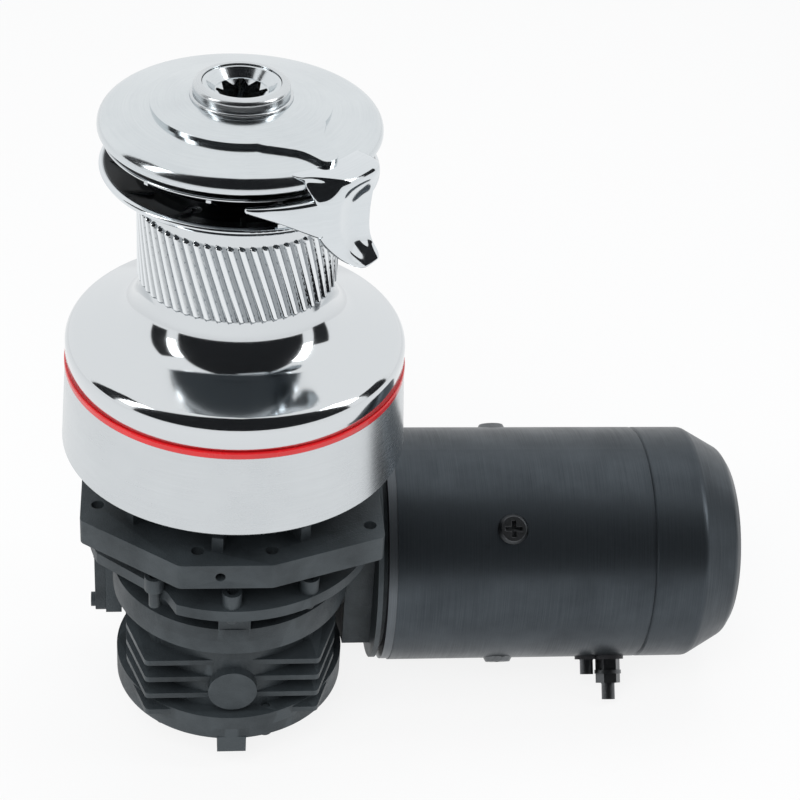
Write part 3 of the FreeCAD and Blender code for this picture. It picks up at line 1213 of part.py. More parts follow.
def motor_adapter():
    """Square neck on the gearbox's side that ends in the motor's round mounting flange."""
    start = RING_FLANGE_R - 8.0
    neck = block(start, ADAPTER_END - 2.0, WORM_CENTRE - NECK_HALF, WORM_CENTRE + NECK_HALF,
                 WORM_Z - NECK_HALF, WORM_Z + NECK_HALF)
    flange = rod_x(MOTOR_R - 1.5, ADAPTER_END - 3.0, ADAPTER_END, WORM_CENTRE, WORM_Z)
    spacer = rod_x(MOTOR_R - 8.0, ADAPTER_END, ADAPTER_END + 3.0, WORM_CENTRE, WORM_Z)
    lug = block(start + 8.0, ADAPTER_END - 4.0, WORM_CENTRE - 20.0, WORM_CENTRE + 20.0,
                WORM_Z - NECK_HALF - 7.0, WORM_Z - NECK_HALF + 1.0)
    body = fused([neck, flange, spacer, lug])
    cuts = [cyl(RING_FLANGE_R, WORM_Z - 80.0, 0.0)]
    cuts.append(rod_x(TUNNEL_R, start - 1.0, RING_FLANGE_R, WORM_CENTRE, WORM_Z))
    cuts.append(rod_x(TUNNEL_BORE, start - 1.0, ADAPTER_END + 4.0, WORM_CENTRE, WORM_Z))
    return body.cut(group(cuts))


def motor_front_ring():
    """Front end bell: its rim shows as a narrow lighter ring before the yoke."""
    start = ADAPTER_END + 3.0
    rim = tube_x(MOTOR_R - 0.6, TUNNEL_BORE, start, MOTOR_START, WORM_CENTRE, WORM_Z)
    spigot = tube_x(MOTOR_R - YOKE_WALL, MOTOR_R - YOKE_WALL - 4.0, MOTOR_START, MOTOR_START + 6.0,
                    WORM_CENTRE, WORM_Z)
    return rim.fuse(spigot)


def motor_yoke():
    tube = tube_x(MOTOR_R, MOTOR_R - YOKE_WALL, MOTOR_START, MOTOR_SEAM - 0.8, WORM_CENTRE, WORM_Z)
    cuts = [terminal_hole(place) for place in (TERMINAL_X, STUB_X)]
    cuts += pole_screw_tools()
    return tube.cut(group(cuts))


POLE_ANGLES = [135.0 + 90.0 * i for i in range(4)]


def swung(shape):
    """Turns a piece that is drawn below the motor to the terminals' direction."""
    return turned(shape, TERMINAL_SWING, centre=(0, WORM_CENTRE, WORM_Z), axis=(1, 0, 0))


def terminal_hole(x):
    base = WORM_Z - MOTOR_R
    return swung(cyl(STUD_R + 3.0, base - 2.0, base + YOKE_WALL + 2.0, x, WORM_CENTRE))


def pole_axis(angle):
    y, z = polar(1.0, angle)
    return vec(0, y, z)


def pole_screw_tools():
    tools = []
    for angle in POLE_ANGLES:
        axis = pole_axis(angle)
        base = vec(POLE_SCREW_X, WORM_CENTRE, WORM_Z) + axis * (MOTOR_R - YOKE_WALL - 2.0)
        tools.append(Part.makeCylinder(4.0, YOKE_WALL + 6.0, base, axis))
        seat = vec(POLE_SCREW_X, WORM_CENTRE, WORM_Z) + axis * (MOTOR_R - 0.6)
        tools.append(Part.makeCylinder(POLE_SCREW_R, 6.0, seat, axis))
    return tools


def pole_screws():
    """Pan-head screws with a cross recess that hold the magnets' carriers from outside."""
    screws = []
    for angle in POLE_ANGLES:
        axis = pole_axis(angle)
        middle = vec(POLE_SCREW_X, WORM_CENTRE, WORM_Z)
        seat = middle + axis * (MOTOR_R - 0.6)
        head = Part.makeCone(POLE_SCREW_R, POLE_SCREW_R - 1.6, 3.0, seat, axis)
        shank = Part.makeCylinder(4.0, YOKE_WALL, middle + axis * (MOTOR_R - YOKE_WALL), axis)
        screw = head.fuse(shank)
        arm = block(-POLE_SCREW_R * 0.55, POLE_SCREW_R * 0.55, -1.2, 1.2, 0.0, 3.0)
        cross = arm.fuse(turned(arm, 90.0))
        cross.Placement = FreeCAD.Placement(seat + axis * 0.9, FreeCAD.Rotation(vec(0, 0, 1), axis))
        screws.append(screw.cut(cross))
    return group(screws)


def motor_magnets():
    outer = MOTOR_R - YOKE_WALL
    inner = outer - MAGNET_THICK
    middle = CORE_MIDDLE
    shell = tube_x(outer, inner, middle - CORE_LENGTH / 2.0, middle + CORE_LENGTH / 2.0)
    magnets = []
    for angle in POLE_ANGLES:
        wedge = Part.Face(Part.makePolygon([
            vec(0, 0, 0), vec(0, *polar(120.0, angle - 34.0)), vec(0, *polar(120.0, angle + 34.0)),
            vec(0, 0, 0)])).extrude(vec(CORE_LENGTH + 2.0, 0, 0))
        wedge = moved(wedge, middle - CORE_LENGTH / 2.0 - 1.0)
        magnets.append(moved(shell.common(wedge), 0.0, WORM_CENTRE, WORM_Z))
    return group(magnets)


def armature():
    """Slotted core on the motor shaft, and the commutator behind it."""
    radius = MOTOR_R - YOKE_WALL - MAGNET_THICK - AIR_GAP
    middle = CORE_MIDDLE
    start = middle - CORE_LENGTH / 2.0
    core = tube_x(radius, WORM_SHAFT_R, start, start + CORE_LENGTH)
    slots = []
    for i in range(CORE_SLOTS):
        slot = block(start - 1.0, start + CORE_LENGTH + 1.0, radius - 9.0, radius + 1.0, -2.2, 2.2)
        slots.append(turned(slot, 360.0 * i / CORE_SLOTS, axis=(1, 0, 0)))
    core = core.cut(group(slots))
    end = start + CORE_LENGTH
    winding = revolved_x([(end, WORM_SHAFT_R), (end, radius - 8.0, 4.0), (end + 14.0, radius - 14.0, 6.0),
                          (end + 14.0, WORM_SHAFT_R)])
    front = revolved_x([(start - 12.0, WORM_SHAFT_R), (start - 12.0, radius - 14.0, 6.0),
                        (start, radius - 8.0, 4.0), (start, WORM_SHAFT_R)])
    commutator = tube_x(COMMUTATOR_R, WORM_SHAFT_R, end + 14.0, end + 14.0 + COMMUTATOR_LENGTH)
    return group([moved(piece, 0.0, WORM_CENTRE, WORM_Z) for piece in (core, winding, front, commutator)])


def brush_ring_start():
    middle = CORE_MIDDLE
    return middle + CORE_LENGTH / 2.0 + 14.0


def brush_holder():
    start = brush_ring_start() + COMMUTATOR_LENGTH / 2.0 - 9.0
    plate = tube_x(MOTOR_R - YOKE_WALL - 4.0, COMMUTATOR_R + 3.0, start + 18.0, start + 21.0)
    boxes = []
    for angle in POLE_ANGLES:
        box = block(start, start + 18.0, COMMUTATOR_R + 4.0, COMMUTATOR_R + 26.0, -8.5, 8.5)
        hole = block(start + 2.0, start + 16.0, COMMUTATOR_R - 2.0, COMMUTATOR_R + 30.0, -6.0, 6.0)
        boxes.append(turned(box.cut(hole), angle, axis=(1, 0, 0)))
    return moved(fused([plate] + boxes), 0.0, WORM_CENTRE, WORM_Z)


def brushes():
    start = brush_ring_start() + COMMUTATOR_LENGTH / 2.0 - 9.0
    blocks = []
    for angle in POLE_ANGLES:
        brush = block(start + 2.0, start + 16.0, COMMUTATOR_R + 0.9, COMMUTATOR_R + 20.0, -6.0, 6.0)
        brush = turned(brush, angle, axis=(1, 0, 0))
        blocks.append(moved(brush, 0.0, WORM_CENTRE, WORM_Z))
    return group(blocks)


def motor_end_cap():
    face_r = MOTOR_R - CAP_ROUND
    turn_x = MOTOR_SEAM + CAP_STRAIGHT
    wall = YOKE_WALL
    shell = revolved_x([
        (MOTOR_SEAM + 0.8, 0.0), (MOTOR_SEAM + 0.8, MOTOR_R - 1.0), (MOTOR_SEAM + 1.8, MOTOR_R),
        (turn_x, MOTOR_R, 6.0), (MOTOR_END - 4.0, face_r + 4.0, 8.0), (MOTOR_END, face_r - 2.0, 3.0),
        (MOTOR_END, 0.0)], WORM_CENTRE, WORM_Z)
    bead = rod_x(MOTOR_R - 1.2, MOTOR_SEAM - 0.8, MOTOR_SEAM + 0.8, WORM_CENTRE, WORM_Z)
    spigot = rod_x(MOTOR_R - wall, MOTOR_SEAM - 6.0, MOTOR_SEAM, WORM_CENTRE, WORM_Z)
    room = revolved_x([
        (MOTOR_SEAM - 7.0, 0.0), (MOTOR_SEAM - 7.0, MOTOR_R - wall - 4.0), (turn_x - 4.0, MOTOR_R - wall - 4.0),
        (MOTOR_END - 14.0, face_r - 8.0), (MOTOR_END - 14.0, 0.0)], WORM_CENTRE, WORM_Z)
    pocket = rod_x(WORM_SHAFT_R + RUN_FIT, MOTOR_END - 20.0, MOTOR_END - 13.0, WORM_CENTRE, WORM_Z)
    carrier = tube_x(WORM_SHAFT_R + 9.0, WORM_SHAFT_R + RUN_FIT, MOTOR_END - 28.0, MOTOR_END - 13.0,
                     WORM_CENTRE, WORM_Z)
    return fused([shell, bead, spigot]).cut(room).fuse(carrier).cut(pocket)


def terminal_studs():
    """Threaded main stud and a short plain one beside it, standing on the yoke."""
    base = WORM_Z - MOTOR_R
    studs = []
    for x, length, shank in ((TERMINAL_X, STUD_LENGTH, NUT_FACE), (STUB_X, STUB_LENGTH, INSULATOR_FACE)):
        shoulder = base - shank - STUD_SHOULDER
        stud = cyl(STUD_R, base - length, shoulder, x, WORM_CENTRE)
        studs.append(stud.fuse(cyl(STUD_SHANK_R, shoulder, base + 4.0, x, WORM_CENTRE)))
    return swung(group(studs))


def stud_bore(low, high, x):
    return cyl(STUD_SHANK_R + STUD_GAP, low, high, x, WORM_CENTRE)


def nut(radius, low, high, x, y):
    body = prism([polar(radius, 60.0 * i) for i in range(6)], low, high)
    return moved(body, x, y)


def terminal_nuts():
    """The main stud's lower nut, washer and outer nut, counted outwards."""
    base = WORM_Z - MOTOR_R
    bore = stud_bore(base - 40.0, base + 4.0, TERMINAL_X)
    pieces = [nut(7.4, base - 8.2, base - INSULATOR_FACE, TERMINAL_X, WORM_CENTRE)]
    pieces.append(cyl(7.9, base - 10.4, base - 8.2, TERMINAL_X, WORM_CENTRE))
    pieces.append(nut(7.4, base - NUT_FACE, base - 10.4, TERMINAL_X, WORM_CENTRE))
    return swung(group([piece.cut(bore) for piece in pieces]))


def terminal_insulators():
    base = WORM_Z - MOTOR_R
    bores = group([stud_bore(base - 3.0, base + YOKE_WALL + 3.0, x) for x in (TERMINAL_X, STUB_X)])
    pieces = []
    for x, disc in ((TERMINAL_X, 9.4), (STUB_X, 0.0)):
        sleeve = cyl(STUD_R + 3.0, base - INSULATOR_FACE, base + YOKE_WALL + 1.0, x, WORM_CENTRE)
        if disc:
            seat = rod_x(MOTOR_R, x - 12.0, x + 12.0, WORM_CENTRE, WORM_Z)
            sleeve = sleeve.fuse(cyl(disc, base - INSULATOR_FACE, base + 1.5, x, WORM_CENTRE).cut(seat))
        if x < TERMINAL_X:
            sleeve = sleeve.cut(cyl(9.4 + STUD_GAP, base - 3.0, base + 2.0, TERMINAL_X, WORM_CENTRE))
        pieces.append(sleeve.cut(bores))
    return swung(group(pieces))


PARTS = {
    "base_plate": base_plate, "gear_housing": gear_housing, "skirt_ring": skirt_ring,
    "trim_ring": trim_ring, "gear_pins": gear_pins, "base_screws": base_screws,
    "spindle_bushes": spindle_bushes, "tailing_arm": tailing_arm, "line_stripper": line_stripper,
    "stripper_screws": stripper_screws, "tail_cover": tail_cover, "socket_collar": socket_collar,
    "drum": drum, "ring_gear": ring_gear, "lower_jaw": lower_jaw, "jaw_retainer": jaw_retainer,
    "jaw_screws": jaw_screws, "jaw_springs": jaw_springs, "upper_jaw": upper_jaw,
    "bearing_rollers": bearing_rollers, "bearing_cages": bearing_cages, "spindle": spindle,
    "high_pawl_left": lambda: high_pawl(0), "high_pawl_right": lambda: high_pawl(1),
    "high_pawl_springs": high_pawl_springs, "gear_high": gear_high, "planet_high": planet_high,
    "idler_low": idler_low, "lay_gear_low": lay_gear_low, "pinion_low": pinion_low,
    "low_pawl_left": lambda: low_pawl(0), "low_pawl_right": lambda: low_pawl(1),
    "low_pawl_springs": low_pawl_springs,
    "gearbox_top": gearbox_top, "gearbox_lid": gearbox_lid, "hub_bolts": hub_bolts, "gearbox_body": gearbox_body,
    "bottom_cover": bottom_cover, "gearbox_screws": gearbox_screws, "worm_end_cover": worm_end_cover,
    "wheel_bushes": wheel_bushes, "shaft_seal": shaft_seal, "drive_shaft": drive_shaft,
    "worm_wheel": worm_wheel, "worm_shaft": worm_shaft, "worm_bearing_outers": worm_bearing_outers,
    "worm_bearing_inners": worm_bearing_inners, "worm_bearing_balls": worm_bearing_balls,
    "armature": armature, "motor_adapter": motor_adapter, "motor_front_ring": motor_front_ring,
    "motor_yoke": motor_yoke, "motor_magnets": motor_magnets, "motor_end_cap": motor_end_cap,
    "pole_screws": pole_screws, "brush_holder": brush_holder, "brushes": brushes,
    "terminal_studs": terminal_studs, "terminal_nuts": terminal_nuts,
    "terminal_insulators": terminal_insulators,
}


def main():
    os.makedirs("parts", exist_ok=True)
    for name, make in PARTS.items():
        shape = make()
        shape.exportStep("parts/" + name + ".step")
        print(name, "solids", len(shape.Solids), "valid", shape.isValid(), "volume", round(shape.Volume))


main()
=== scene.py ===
# %% [markdown]
# An electric self-tailing winch. A chromed drum stands on deck, and a worm gearbox with a motor
# hangs below it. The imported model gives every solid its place. This script dresses it: it gives
# each solid a finish, and builds finer pieces where a polished surface needs a better shape.

# %% Load the frame
import json
import math

import bmesh
import bpy
from mathutils import Matrix, Vector

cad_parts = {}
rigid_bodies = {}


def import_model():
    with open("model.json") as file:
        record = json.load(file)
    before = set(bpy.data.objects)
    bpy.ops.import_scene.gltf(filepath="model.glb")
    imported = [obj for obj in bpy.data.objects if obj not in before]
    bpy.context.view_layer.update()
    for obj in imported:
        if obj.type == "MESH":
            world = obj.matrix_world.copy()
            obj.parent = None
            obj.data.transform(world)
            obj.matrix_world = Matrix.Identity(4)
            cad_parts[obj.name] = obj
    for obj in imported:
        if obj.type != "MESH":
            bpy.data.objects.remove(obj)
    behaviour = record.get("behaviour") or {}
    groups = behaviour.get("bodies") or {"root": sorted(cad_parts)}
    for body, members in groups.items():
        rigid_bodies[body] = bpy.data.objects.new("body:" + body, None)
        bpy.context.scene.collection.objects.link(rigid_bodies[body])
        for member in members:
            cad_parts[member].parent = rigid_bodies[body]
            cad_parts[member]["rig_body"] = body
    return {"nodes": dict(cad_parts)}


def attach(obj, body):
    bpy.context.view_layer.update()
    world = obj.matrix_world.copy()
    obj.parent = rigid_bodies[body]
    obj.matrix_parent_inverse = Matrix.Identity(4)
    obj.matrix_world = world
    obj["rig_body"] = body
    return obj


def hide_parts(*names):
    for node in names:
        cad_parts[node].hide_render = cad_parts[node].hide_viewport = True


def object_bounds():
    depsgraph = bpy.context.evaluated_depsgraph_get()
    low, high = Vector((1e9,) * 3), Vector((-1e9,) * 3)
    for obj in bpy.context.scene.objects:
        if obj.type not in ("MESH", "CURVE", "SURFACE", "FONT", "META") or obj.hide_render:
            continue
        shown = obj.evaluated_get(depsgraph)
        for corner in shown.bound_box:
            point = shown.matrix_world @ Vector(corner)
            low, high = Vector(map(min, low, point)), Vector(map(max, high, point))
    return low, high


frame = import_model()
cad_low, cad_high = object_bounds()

MM = 0.001
print("solids in the frame:", len(frame["nodes"]))
print("size of the solids in mm:", [round(v / MM, 1) for v in (cad_high - cad_low)])

# %% [markdown]
# The winch is seen from above, at about 35 degrees, through a long lens and with a little roll. The
# motor points to the right. A camera can be placed by hand, but here it is given by the point that
# it looks at, its distance and three angles, so each of them can be changed alone.

# %% Camera
LENS = 90.0
CAMERA_DISTANCE = 1057.4 * MM
CAMERA_ELEVATION = math.radians(34.74)
CAMERA_ROLL = math.radians(4.58)
CAMERA_AZIMUTH = math.radians(-8.03)
LOOK_ASIDE = 87.5 * MM
LOOK_HEIGHT = 28.2 * MM

forward = Vector((-math.sin(CAMERA_AZIMUTH) * math.cos(CAMERA_ELEVATION),
                  math.cos(CAMERA_AZIMUTH) * math.cos(CAMERA_ELEVATION),
                  -math.sin(CAMERA_ELEVATION)))
level_right = Vector((math.cos(CAMERA_AZIMUTH), math.sin(CAMERA_AZIMUTH), 0.0))
level_up = level_right.cross(forward)
right = math.cos(CAMERA_ROLL) * level_right + math.sin(CAMERA_ROLL) * level_up
up = -math.sin(CAMERA_ROLL) * level_right + math.cos(CAMERA_ROLL) * level_up
target = LOOK_ASIDE * level_right + Vector((0.0, 0.0, LOOK_HEIGHT))

camera_data = bpy.data.cameras.new("photo_camera")
camera_data.lens = LENS
camera_data.clip_start = 0.05
camera = bpy.data.objects.new("photo_camera", camera_data)
turn = Matrix((right, up, -forward)).transposed().to_4x4()
camera.matrix_world = Matrix.Translation(target - CAMERA_DISTANCE * forward) @ turn
bpy.context.scene.collection.objects.link(camera)
bpy.context.scene.camera = camera
print("camera at", [round(v, 3) for v in camera.matrix_world.translation])


# %% [markdown]
# Node groups hold the effects that several finishes share. Each has named inputs and outputs and
# puts out only masks and heights, so the shader and its constants stay in the material itself.
# Three small helpers make a group, a node with its values, and a sum.

# %% Helpers for node groups
def new_group(name, inputs, outputs):
    group = bpy.data.node_groups.new(name, "ShaderNodeTree")
    for socket, value in inputs:
        made = group.interface.new_socket(socket, in_out="INPUT", socket_type="NodeSocketFloat")
        made.default_value = value
    for socket in outputs:
        group.interface.new_socket(socket, in_out="OUTPUT", socket_type="NodeSocketFloat")
    start = group.nodes.new("NodeGroupInput")
    finish = group.nodes.new("NodeGroupOutput")
    return group, start, finish


def add(tree, kind, **settings):
    """A new node. A setting is one of the node's own properties, or else the value of a socket."""
    node = tree.nodes.new(kind)
    for key, value in settings.items():
        if key in node.bl_rna.properties:
            setattr(node, key, value)
        else:
            node.inputs[key].default_value = value
    return node


def maths(tree, operation, first, second=None):
    """A Math node. Each of its inputs is a number or another node's output."""
    node = add(tree, "ShaderNodeMath", operation=operation)
    for index, value in enumerate((first, second)):
        if value is None:
            continue
        if isinstance(value, (int, float)):
            node.inputs[index].default_value = value
        else:
            tree.links.new(value, node.inputs[index])
    return node.outputs[0]


def object_place(tree):
    """The place on the piece, and its x, y and z in metres."""
    place = add(tree, "ShaderNodeTexCoord").outputs["Object"]
    parts = add(tree, "ShaderNodeSeparateXYZ")
    tree.links.new(place, parts.inputs[0])
    return place, parts.outputs


def distance(tree, first, second):
    """Distance from an axis, by the two places across it."""
    squares = [maths(tree, "MULTIPLY", value, value) for value in (first, second)]
    return maths(tree, "SQRT", maths(tree, "ADD", *squares))


print("helpers: new_group, add, maths, object_place, distance")


# %% [markdown]
# Machined metal carries fine parallel lines, which a noise stretched along one direction gives. On
# round parts the lines run round the axis, so the place is first turned into radius, height and
# angle. The drum turns about the upright axis and the motor about its own, so there are two groups.

# %% Group: turned lines
MOTOR_Y = 0.045
MOTOR_DEPTH = 0.1153


def make_turned_lines(name, about_motor):
    inputs = [("Lines per metre", 1500.0), ("Streak length", 0.6)]
    group, start, finish = new_group(name, inputs, ["Lines", "Smudge"])
    place, (x, y, z) = object_place(group)
    if about_motor:
        along = x
        first = maths(group, "SUBTRACT", y, MOTOR_Y)
        second = maths(group, "ADD", z, MOTOR_DEPTH)
    else:
        along, first, second = z, x, y
    across = maths(group, "ADD", along, distance(group, first, second))
    angle = maths(group, "ARCTAN2", first, second)
    joined = add(group, "ShaderNodeCombineXYZ")
    crossways = maths(group, "MULTIPLY", across, start.outputs["Lines per metre"])
    lengthways = maths(group, "DIVIDE", angle, start.outputs["Streak length"])
    group.links.new(crossways, joined.inputs[0])
    group.links.new(lengthways, joined.inputs[1])
    noise = add(group, "ShaderNodeTexNoise", Scale=1.0, Detail=3.0, Roughness=0.6)
    group.links.new(joined.outputs[0], noise.inputs["Vector"])
    group.links.new(noise.outputs["Fac"], finish.inputs["Lines"])
    smudge = add(group, "ShaderNodeTexNoise", Scale=38.0, Detail=4.0, Roughness=0.55)
    group.links.new(place, smudge.inputs["Vector"])
    group.links.new(smudge.outputs["Fac"], finish.inputs["Smudge"])
    return group


lines_about_z = make_turned_lines("turned_lines_upright", about_motor=False)
lines_about_motor = make_turned_lines("turned_lines_motor", about_motor=True)
print("groups:", [g.name for g in bpy.data.node_groups])

# %% [markdown]
# Sand castings have a grainy skin: small pimples on broad, soft unevenness. Dust and worn paint
# make it lighter in patches. Two noises and a cell pattern give a height and a tone.

# %% Group: cast skin
CELL_SHARE = 0.4

cast_skin, start, finish = new_group(
    "cast_skin", [("Grain per metre", 900.0), ("Patches per metre", 30.0)], ["Height", "Tone"])
place, _ = object_place(cast_skin)
grain = add(cast_skin, "ShaderNodeTexNoise", Detail=5.0, Roughness=0.65)
cells = add(cast_skin, "ShaderNodeTexVoronoi")
patches = add(cast_skin, "ShaderNodeTexNoise", Detail=4.0, Roughness=0.6)
for texture, rate in ((grain, "Grain per metre"), (cells, "Grain per metre"),
                      (patches, "Patches per metre")):
    cast_skin.links.new(place, texture.inputs["Vector"])
    cast_skin.links.new(start.outputs[rate], texture.inputs["Scale"])
pimples = maths(cast_skin, "MULTIPLY", cells.outputs["Distance"], CELL_SHARE)
cast_skin.links.new(maths(cast_skin, "ADD", grain.outputs["Fac"], pimples),
                    finish.inputs["Height"])
cast_skin.links.new(patches.outputs["Fac"], finish.inputs["Tone"])
print("nodes in the cast skin:", len(cast_skin.nodes))

# %% [markdown]
# Edges catch light and lose their finish first. The pointiness of the surface finds the edges, and
# a ramp turns it into a mask.

# %% Group: worn edges
worn_edges, start, finish = new_group("worn_edges", [("Low", 0.52), ("High", 0.60)], ["Mask"])
shape = add(worn_edges, "ShaderNodeNewGeometry")
ramp = add(worn_edges, "ShaderNodeMapRange", clamp=True)
worn_edges.links.new(shape.outputs["Pointiness"], ramp.inputs["Value"])
worn_edges.links.new(start.outputs["Low"], ramp.inputs["From Min"])
worn_edges.links.new(start.outputs["High"], ramp.inputs["From Max"])
worn_edges.links.new(ramp.outputs[0], finish.inputs["Mask"])
print("nodes in the worn edges:", len(worn_edges.nodes))


# %% [markdown]
# A material starts as a plain metal or paint with a roughness. Masks then vary its colour and its
# gloss: one helper moves a mask to the range that is wanted, and one mixes two tones by it.

# %% Helpers for materials
def new_material(name, metallic, roughness):
    material = bpy.data.materials.new(name)
    material.use_nodes = True
    tree = material.node_tree
    shader = tree.nodes["Principled BSDF"]
    shader.inputs["Metallic"].default_value = metallic
    shader.inputs["Roughness"].default_value = roughness
    return material, tree, shader


def use_group(tree, group, **values):
    node = tree.nodes.new("ShaderNodeGroup")
    node.node_tree = group
    for key, value in values.items():
        node.inputs[key.replace("_", " ")].default_value = value
    return node


def spread(tree, value, low, high, start=0.3, end=0.7):
    """Maps the range start..end of a value to low..high. Most noises lie between 0.3 and 0.7."""
    node = add(tree, "ShaderNodeMapRange")
    node.inputs["From Min"].default_value = start
    node.inputs["From Max"].default_value = end
    node.inputs["To Min"].default_value = low
    node.inputs["To Max"].default_value = high
    tree.links.new(value, node.inputs["Value"])
    return node.outputs[0]


def two_tones(tree, mask, first, second):
    """A colour that is the first tone where the mask is 0 and the second where it is 1."""
    node = add(tree, "ShaderNodeMix", data_type="RGBA")
    colours = [s for s in node.inputs if s.type == "RGBA"]
    colours[0].default_value = (*first, 1.0)
    colours[1].default_value = (*second, 1.0)
    tree.links.new(mask, node.inputs[0])
    return [s for s in node.outputs if s.type == "RGBA"][0]


def bump(tree, shader, height, depth):
    node = add(tree, "ShaderNodeBump", Strength=1.0, Distance=depth)
    tree.links.new(height, node.inputs["Height"])
    tree.links.new(node.outputs[0], shader.inputs["Normal"])


def turned_metal(name, light, dark, rough_low, rough_high, depth, lines=1500.0, motor=False,
                 metallic=1.0):
    """Metal with fine turned lines, a little uneven in tone and gloss. The depth is in metres."""
    material, tree, shader = new_material(name, metallic, rough_low)
    group = lines_about_motor if motor else lines_about_z
    node = use_group(tree, group, Lines_per_metre=lines)
    mask = maths(tree, "ADD", maths(tree, "MULTIPLY", node.outputs["Lines"], 0.5),
                 maths(tree, "MULTIPLY", node.outputs["Smudge"], 0.5))
    tone = two_tones(tree, spread(tree, mask, 0.0, 1.0), light, dark)
    tree.links.new(tone, shader.inputs["Base Color"])
    tree.links.new(spread(tree, mask, rough_low, rough_high), shader.inputs["Roughness"])
    bump(tree, shader, node.outputs["Lines"], depth)
    return material


print("helpers: new_material, use_group, spread, two_tones, bump, turned_metal")

# %% [markdown]
# The chrome comes in three grades. The guide and the drum are polished, with only faint turned
# lines. The arm's plate and its cover are finely brushed, and the skirt is a softer satin. All are
# full metals, since chrome shows almost nothing but what it reflects.

# %% Chrome and bare metals
chrome = turned_metal("polished_chrome", (0.72, 0.755, 0.78), (0.66, 0.70, 0.725), 0.05, 0.10,
                      0.000003)
plate_chrome = turned_metal("brushed_chrome", (0.69, 0.73, 0.75), (0.62, 0.66, 0.685), 0.11, 0.18,
                            0.000005)
satin = turned_metal("satin_chrome", (0.66, 0.69, 0.71), (0.61, 0.64, 0.66), 0.22, 0.30,
                     0.000004, 2200.0)
steel = turned_metal("machined_steel", (0.55, 0.56, 0.58), (0.42, 0.43, 0.45), 0.24, 0.38, 0.00001)
alloy = turned_metal("machined_alloy", (0.72, 0.73, 0.74), (0.60, 0.61, 0.63), 0.3, 0.45, 0.00002)
bronze = turned_metal("machined_bronze", (0.60, 0.38, 0.16), (0.42, 0.25, 0.10), 0.28, 0.42,
                      0.00001)
print("metals:", [m.name for m in bpy.data.materials])

# %% [markdown]
# Between the jaws the line grips. The groove there lies in shade, and that shade is painted as a
# near-black tone on the chrome. The jaws' rims keep the chrome's own tone. The painted shade goes
# where a surface faces up or down and lies inside the rim's radius.

# %% Jaw chrome
JAW_RIM_IN = 0.0655
JAW_RIM_OUT = 0.0675
RIM_TONE = (0.70, 0.735, 0.76)
# The grip tone is painted shade in the groove between the jaws, not a colour of the chrome.
GRIP_PAINTED_SHADE = (0.045, 0.052, 0.058)

jaw_chrome, tree, shader = new_material("jaw_chrome", 1.0, 0.12)
shape = add(tree, "ShaderNodeNewGeometry")
facing = add(tree, "ShaderNodeSeparateXYZ")
tree.links.new(shape.outputs["Normal"], facing.inputs[0])
flat = spread(tree, maths(tree, "ABSOLUTE", facing.outputs[2]), 0.0, 1.0, 0.25, 0.8)
_, (x, y, z) = object_place(tree)
inner = spread(tree, distance(tree, x, y), 1.0, 0.0, JAW_RIM_IN, JAW_RIM_OUT)
tree.links.new(two_tones(tree, maths(tree, "MULTIPLY", flat, inner), RIM_TONE, GRIP_PAINTED_SHADE),
               shader.inputs["Base Color"])
tree.links.new(spread(tree, inner, 0.08, 0.34, 0.0, 1.0), shader.inputs["Roughness"])
print("the jaws' grip is dark inside a radius of", JAW_RIM_IN / MM, "mm")

# %% [markdown]
# The red line is a glossy enamel in a groove between the skirt and the drum.

# %% Red enamel
enamel, tree, shader = new_material("red_enamel", 0.0, 0.28)
smudge = use_group(tree, lines_about_z, Lines_per_metre=300.0).outputs["Smudge"]
tone = two_tones(tree, spread(tree, smudge, 0.0, 1.0), (0.74, 0.012, 0.016), (0.60, 0.008, 0.012))
tree.links.new(tone, shader.inputs["Base Color"])
tree.links.new(spread(tree, smudge, 0.2, 0.34), shader.inputs["Roughness"])
shader.inputs["Coat Weight"].default_value = 0.4
print("enamel nodes:", len(tree.nodes))

# %% [markdown]
# The motor's shell is a drawn steel tube, blackened and brushed round and round. It keeps a soft
# metal sheen, which a dark metal with a medium roughness gives.

# %% Motor finishes
motor_shell = turned_metal("brushed_motor", (0.075, 0.088, 0.100), (0.040, 0.048, 0.056), 0.30,
                           0.46, 0.00003, 2600.0, motor=True, metallic=0.85)
motor_rim = turned_metal("motor_rim", (0.14, 0.155, 0.17), (0.085, 0.095, 0.105), 0.3, 0.45,
                         0.00002, 2600.0, motor=True, metallic=0.85)
dark_steel = turned_metal("dark_steel", (0.20, 0.21, 0.22), (0.10, 0.105, 0.11), 0.28, 0.45,
                          0.00002, 2000.0, motor=True)
print("motor finishes:", motor_shell.name, motor_rim.name, dark_steel.name)


# %% [markdown]
# The gearbox is cast and dark, with a dry, grainy skin that is a little lighter on edges and in
# dusty patches. The same recipe, with other tones, serves the moulded and pressed parts inside.

# %% Cast finishes
def cast_metal(name, light, dark, rough_low, rough_high, depth, grain_rate=900.0):
    material, tree, shader = new_material(name, 0.35, rough_low)
    skin = use_group(tree, cast_skin, Grain_per_metre=grain_rate)
    edges = use_group(tree, worn_edges)
    tone = maths(tree, "ADD", spread(tree, skin.outputs["Tone"], 0.0, 0.8), edges.outputs["Mask"])
    tree.links.new(two_tones(tree, maths(tree, "MINIMUM", tone, 1.0), dark, light),
                   shader.inputs["Base Color"])
    tree.links.new(spread(tree, skin.outputs["Tone"], rough_high, rough_low),
                   shader.inputs["Roughness"])
    bump(tree, shader, skin.outputs["Height"], depth)
    return material


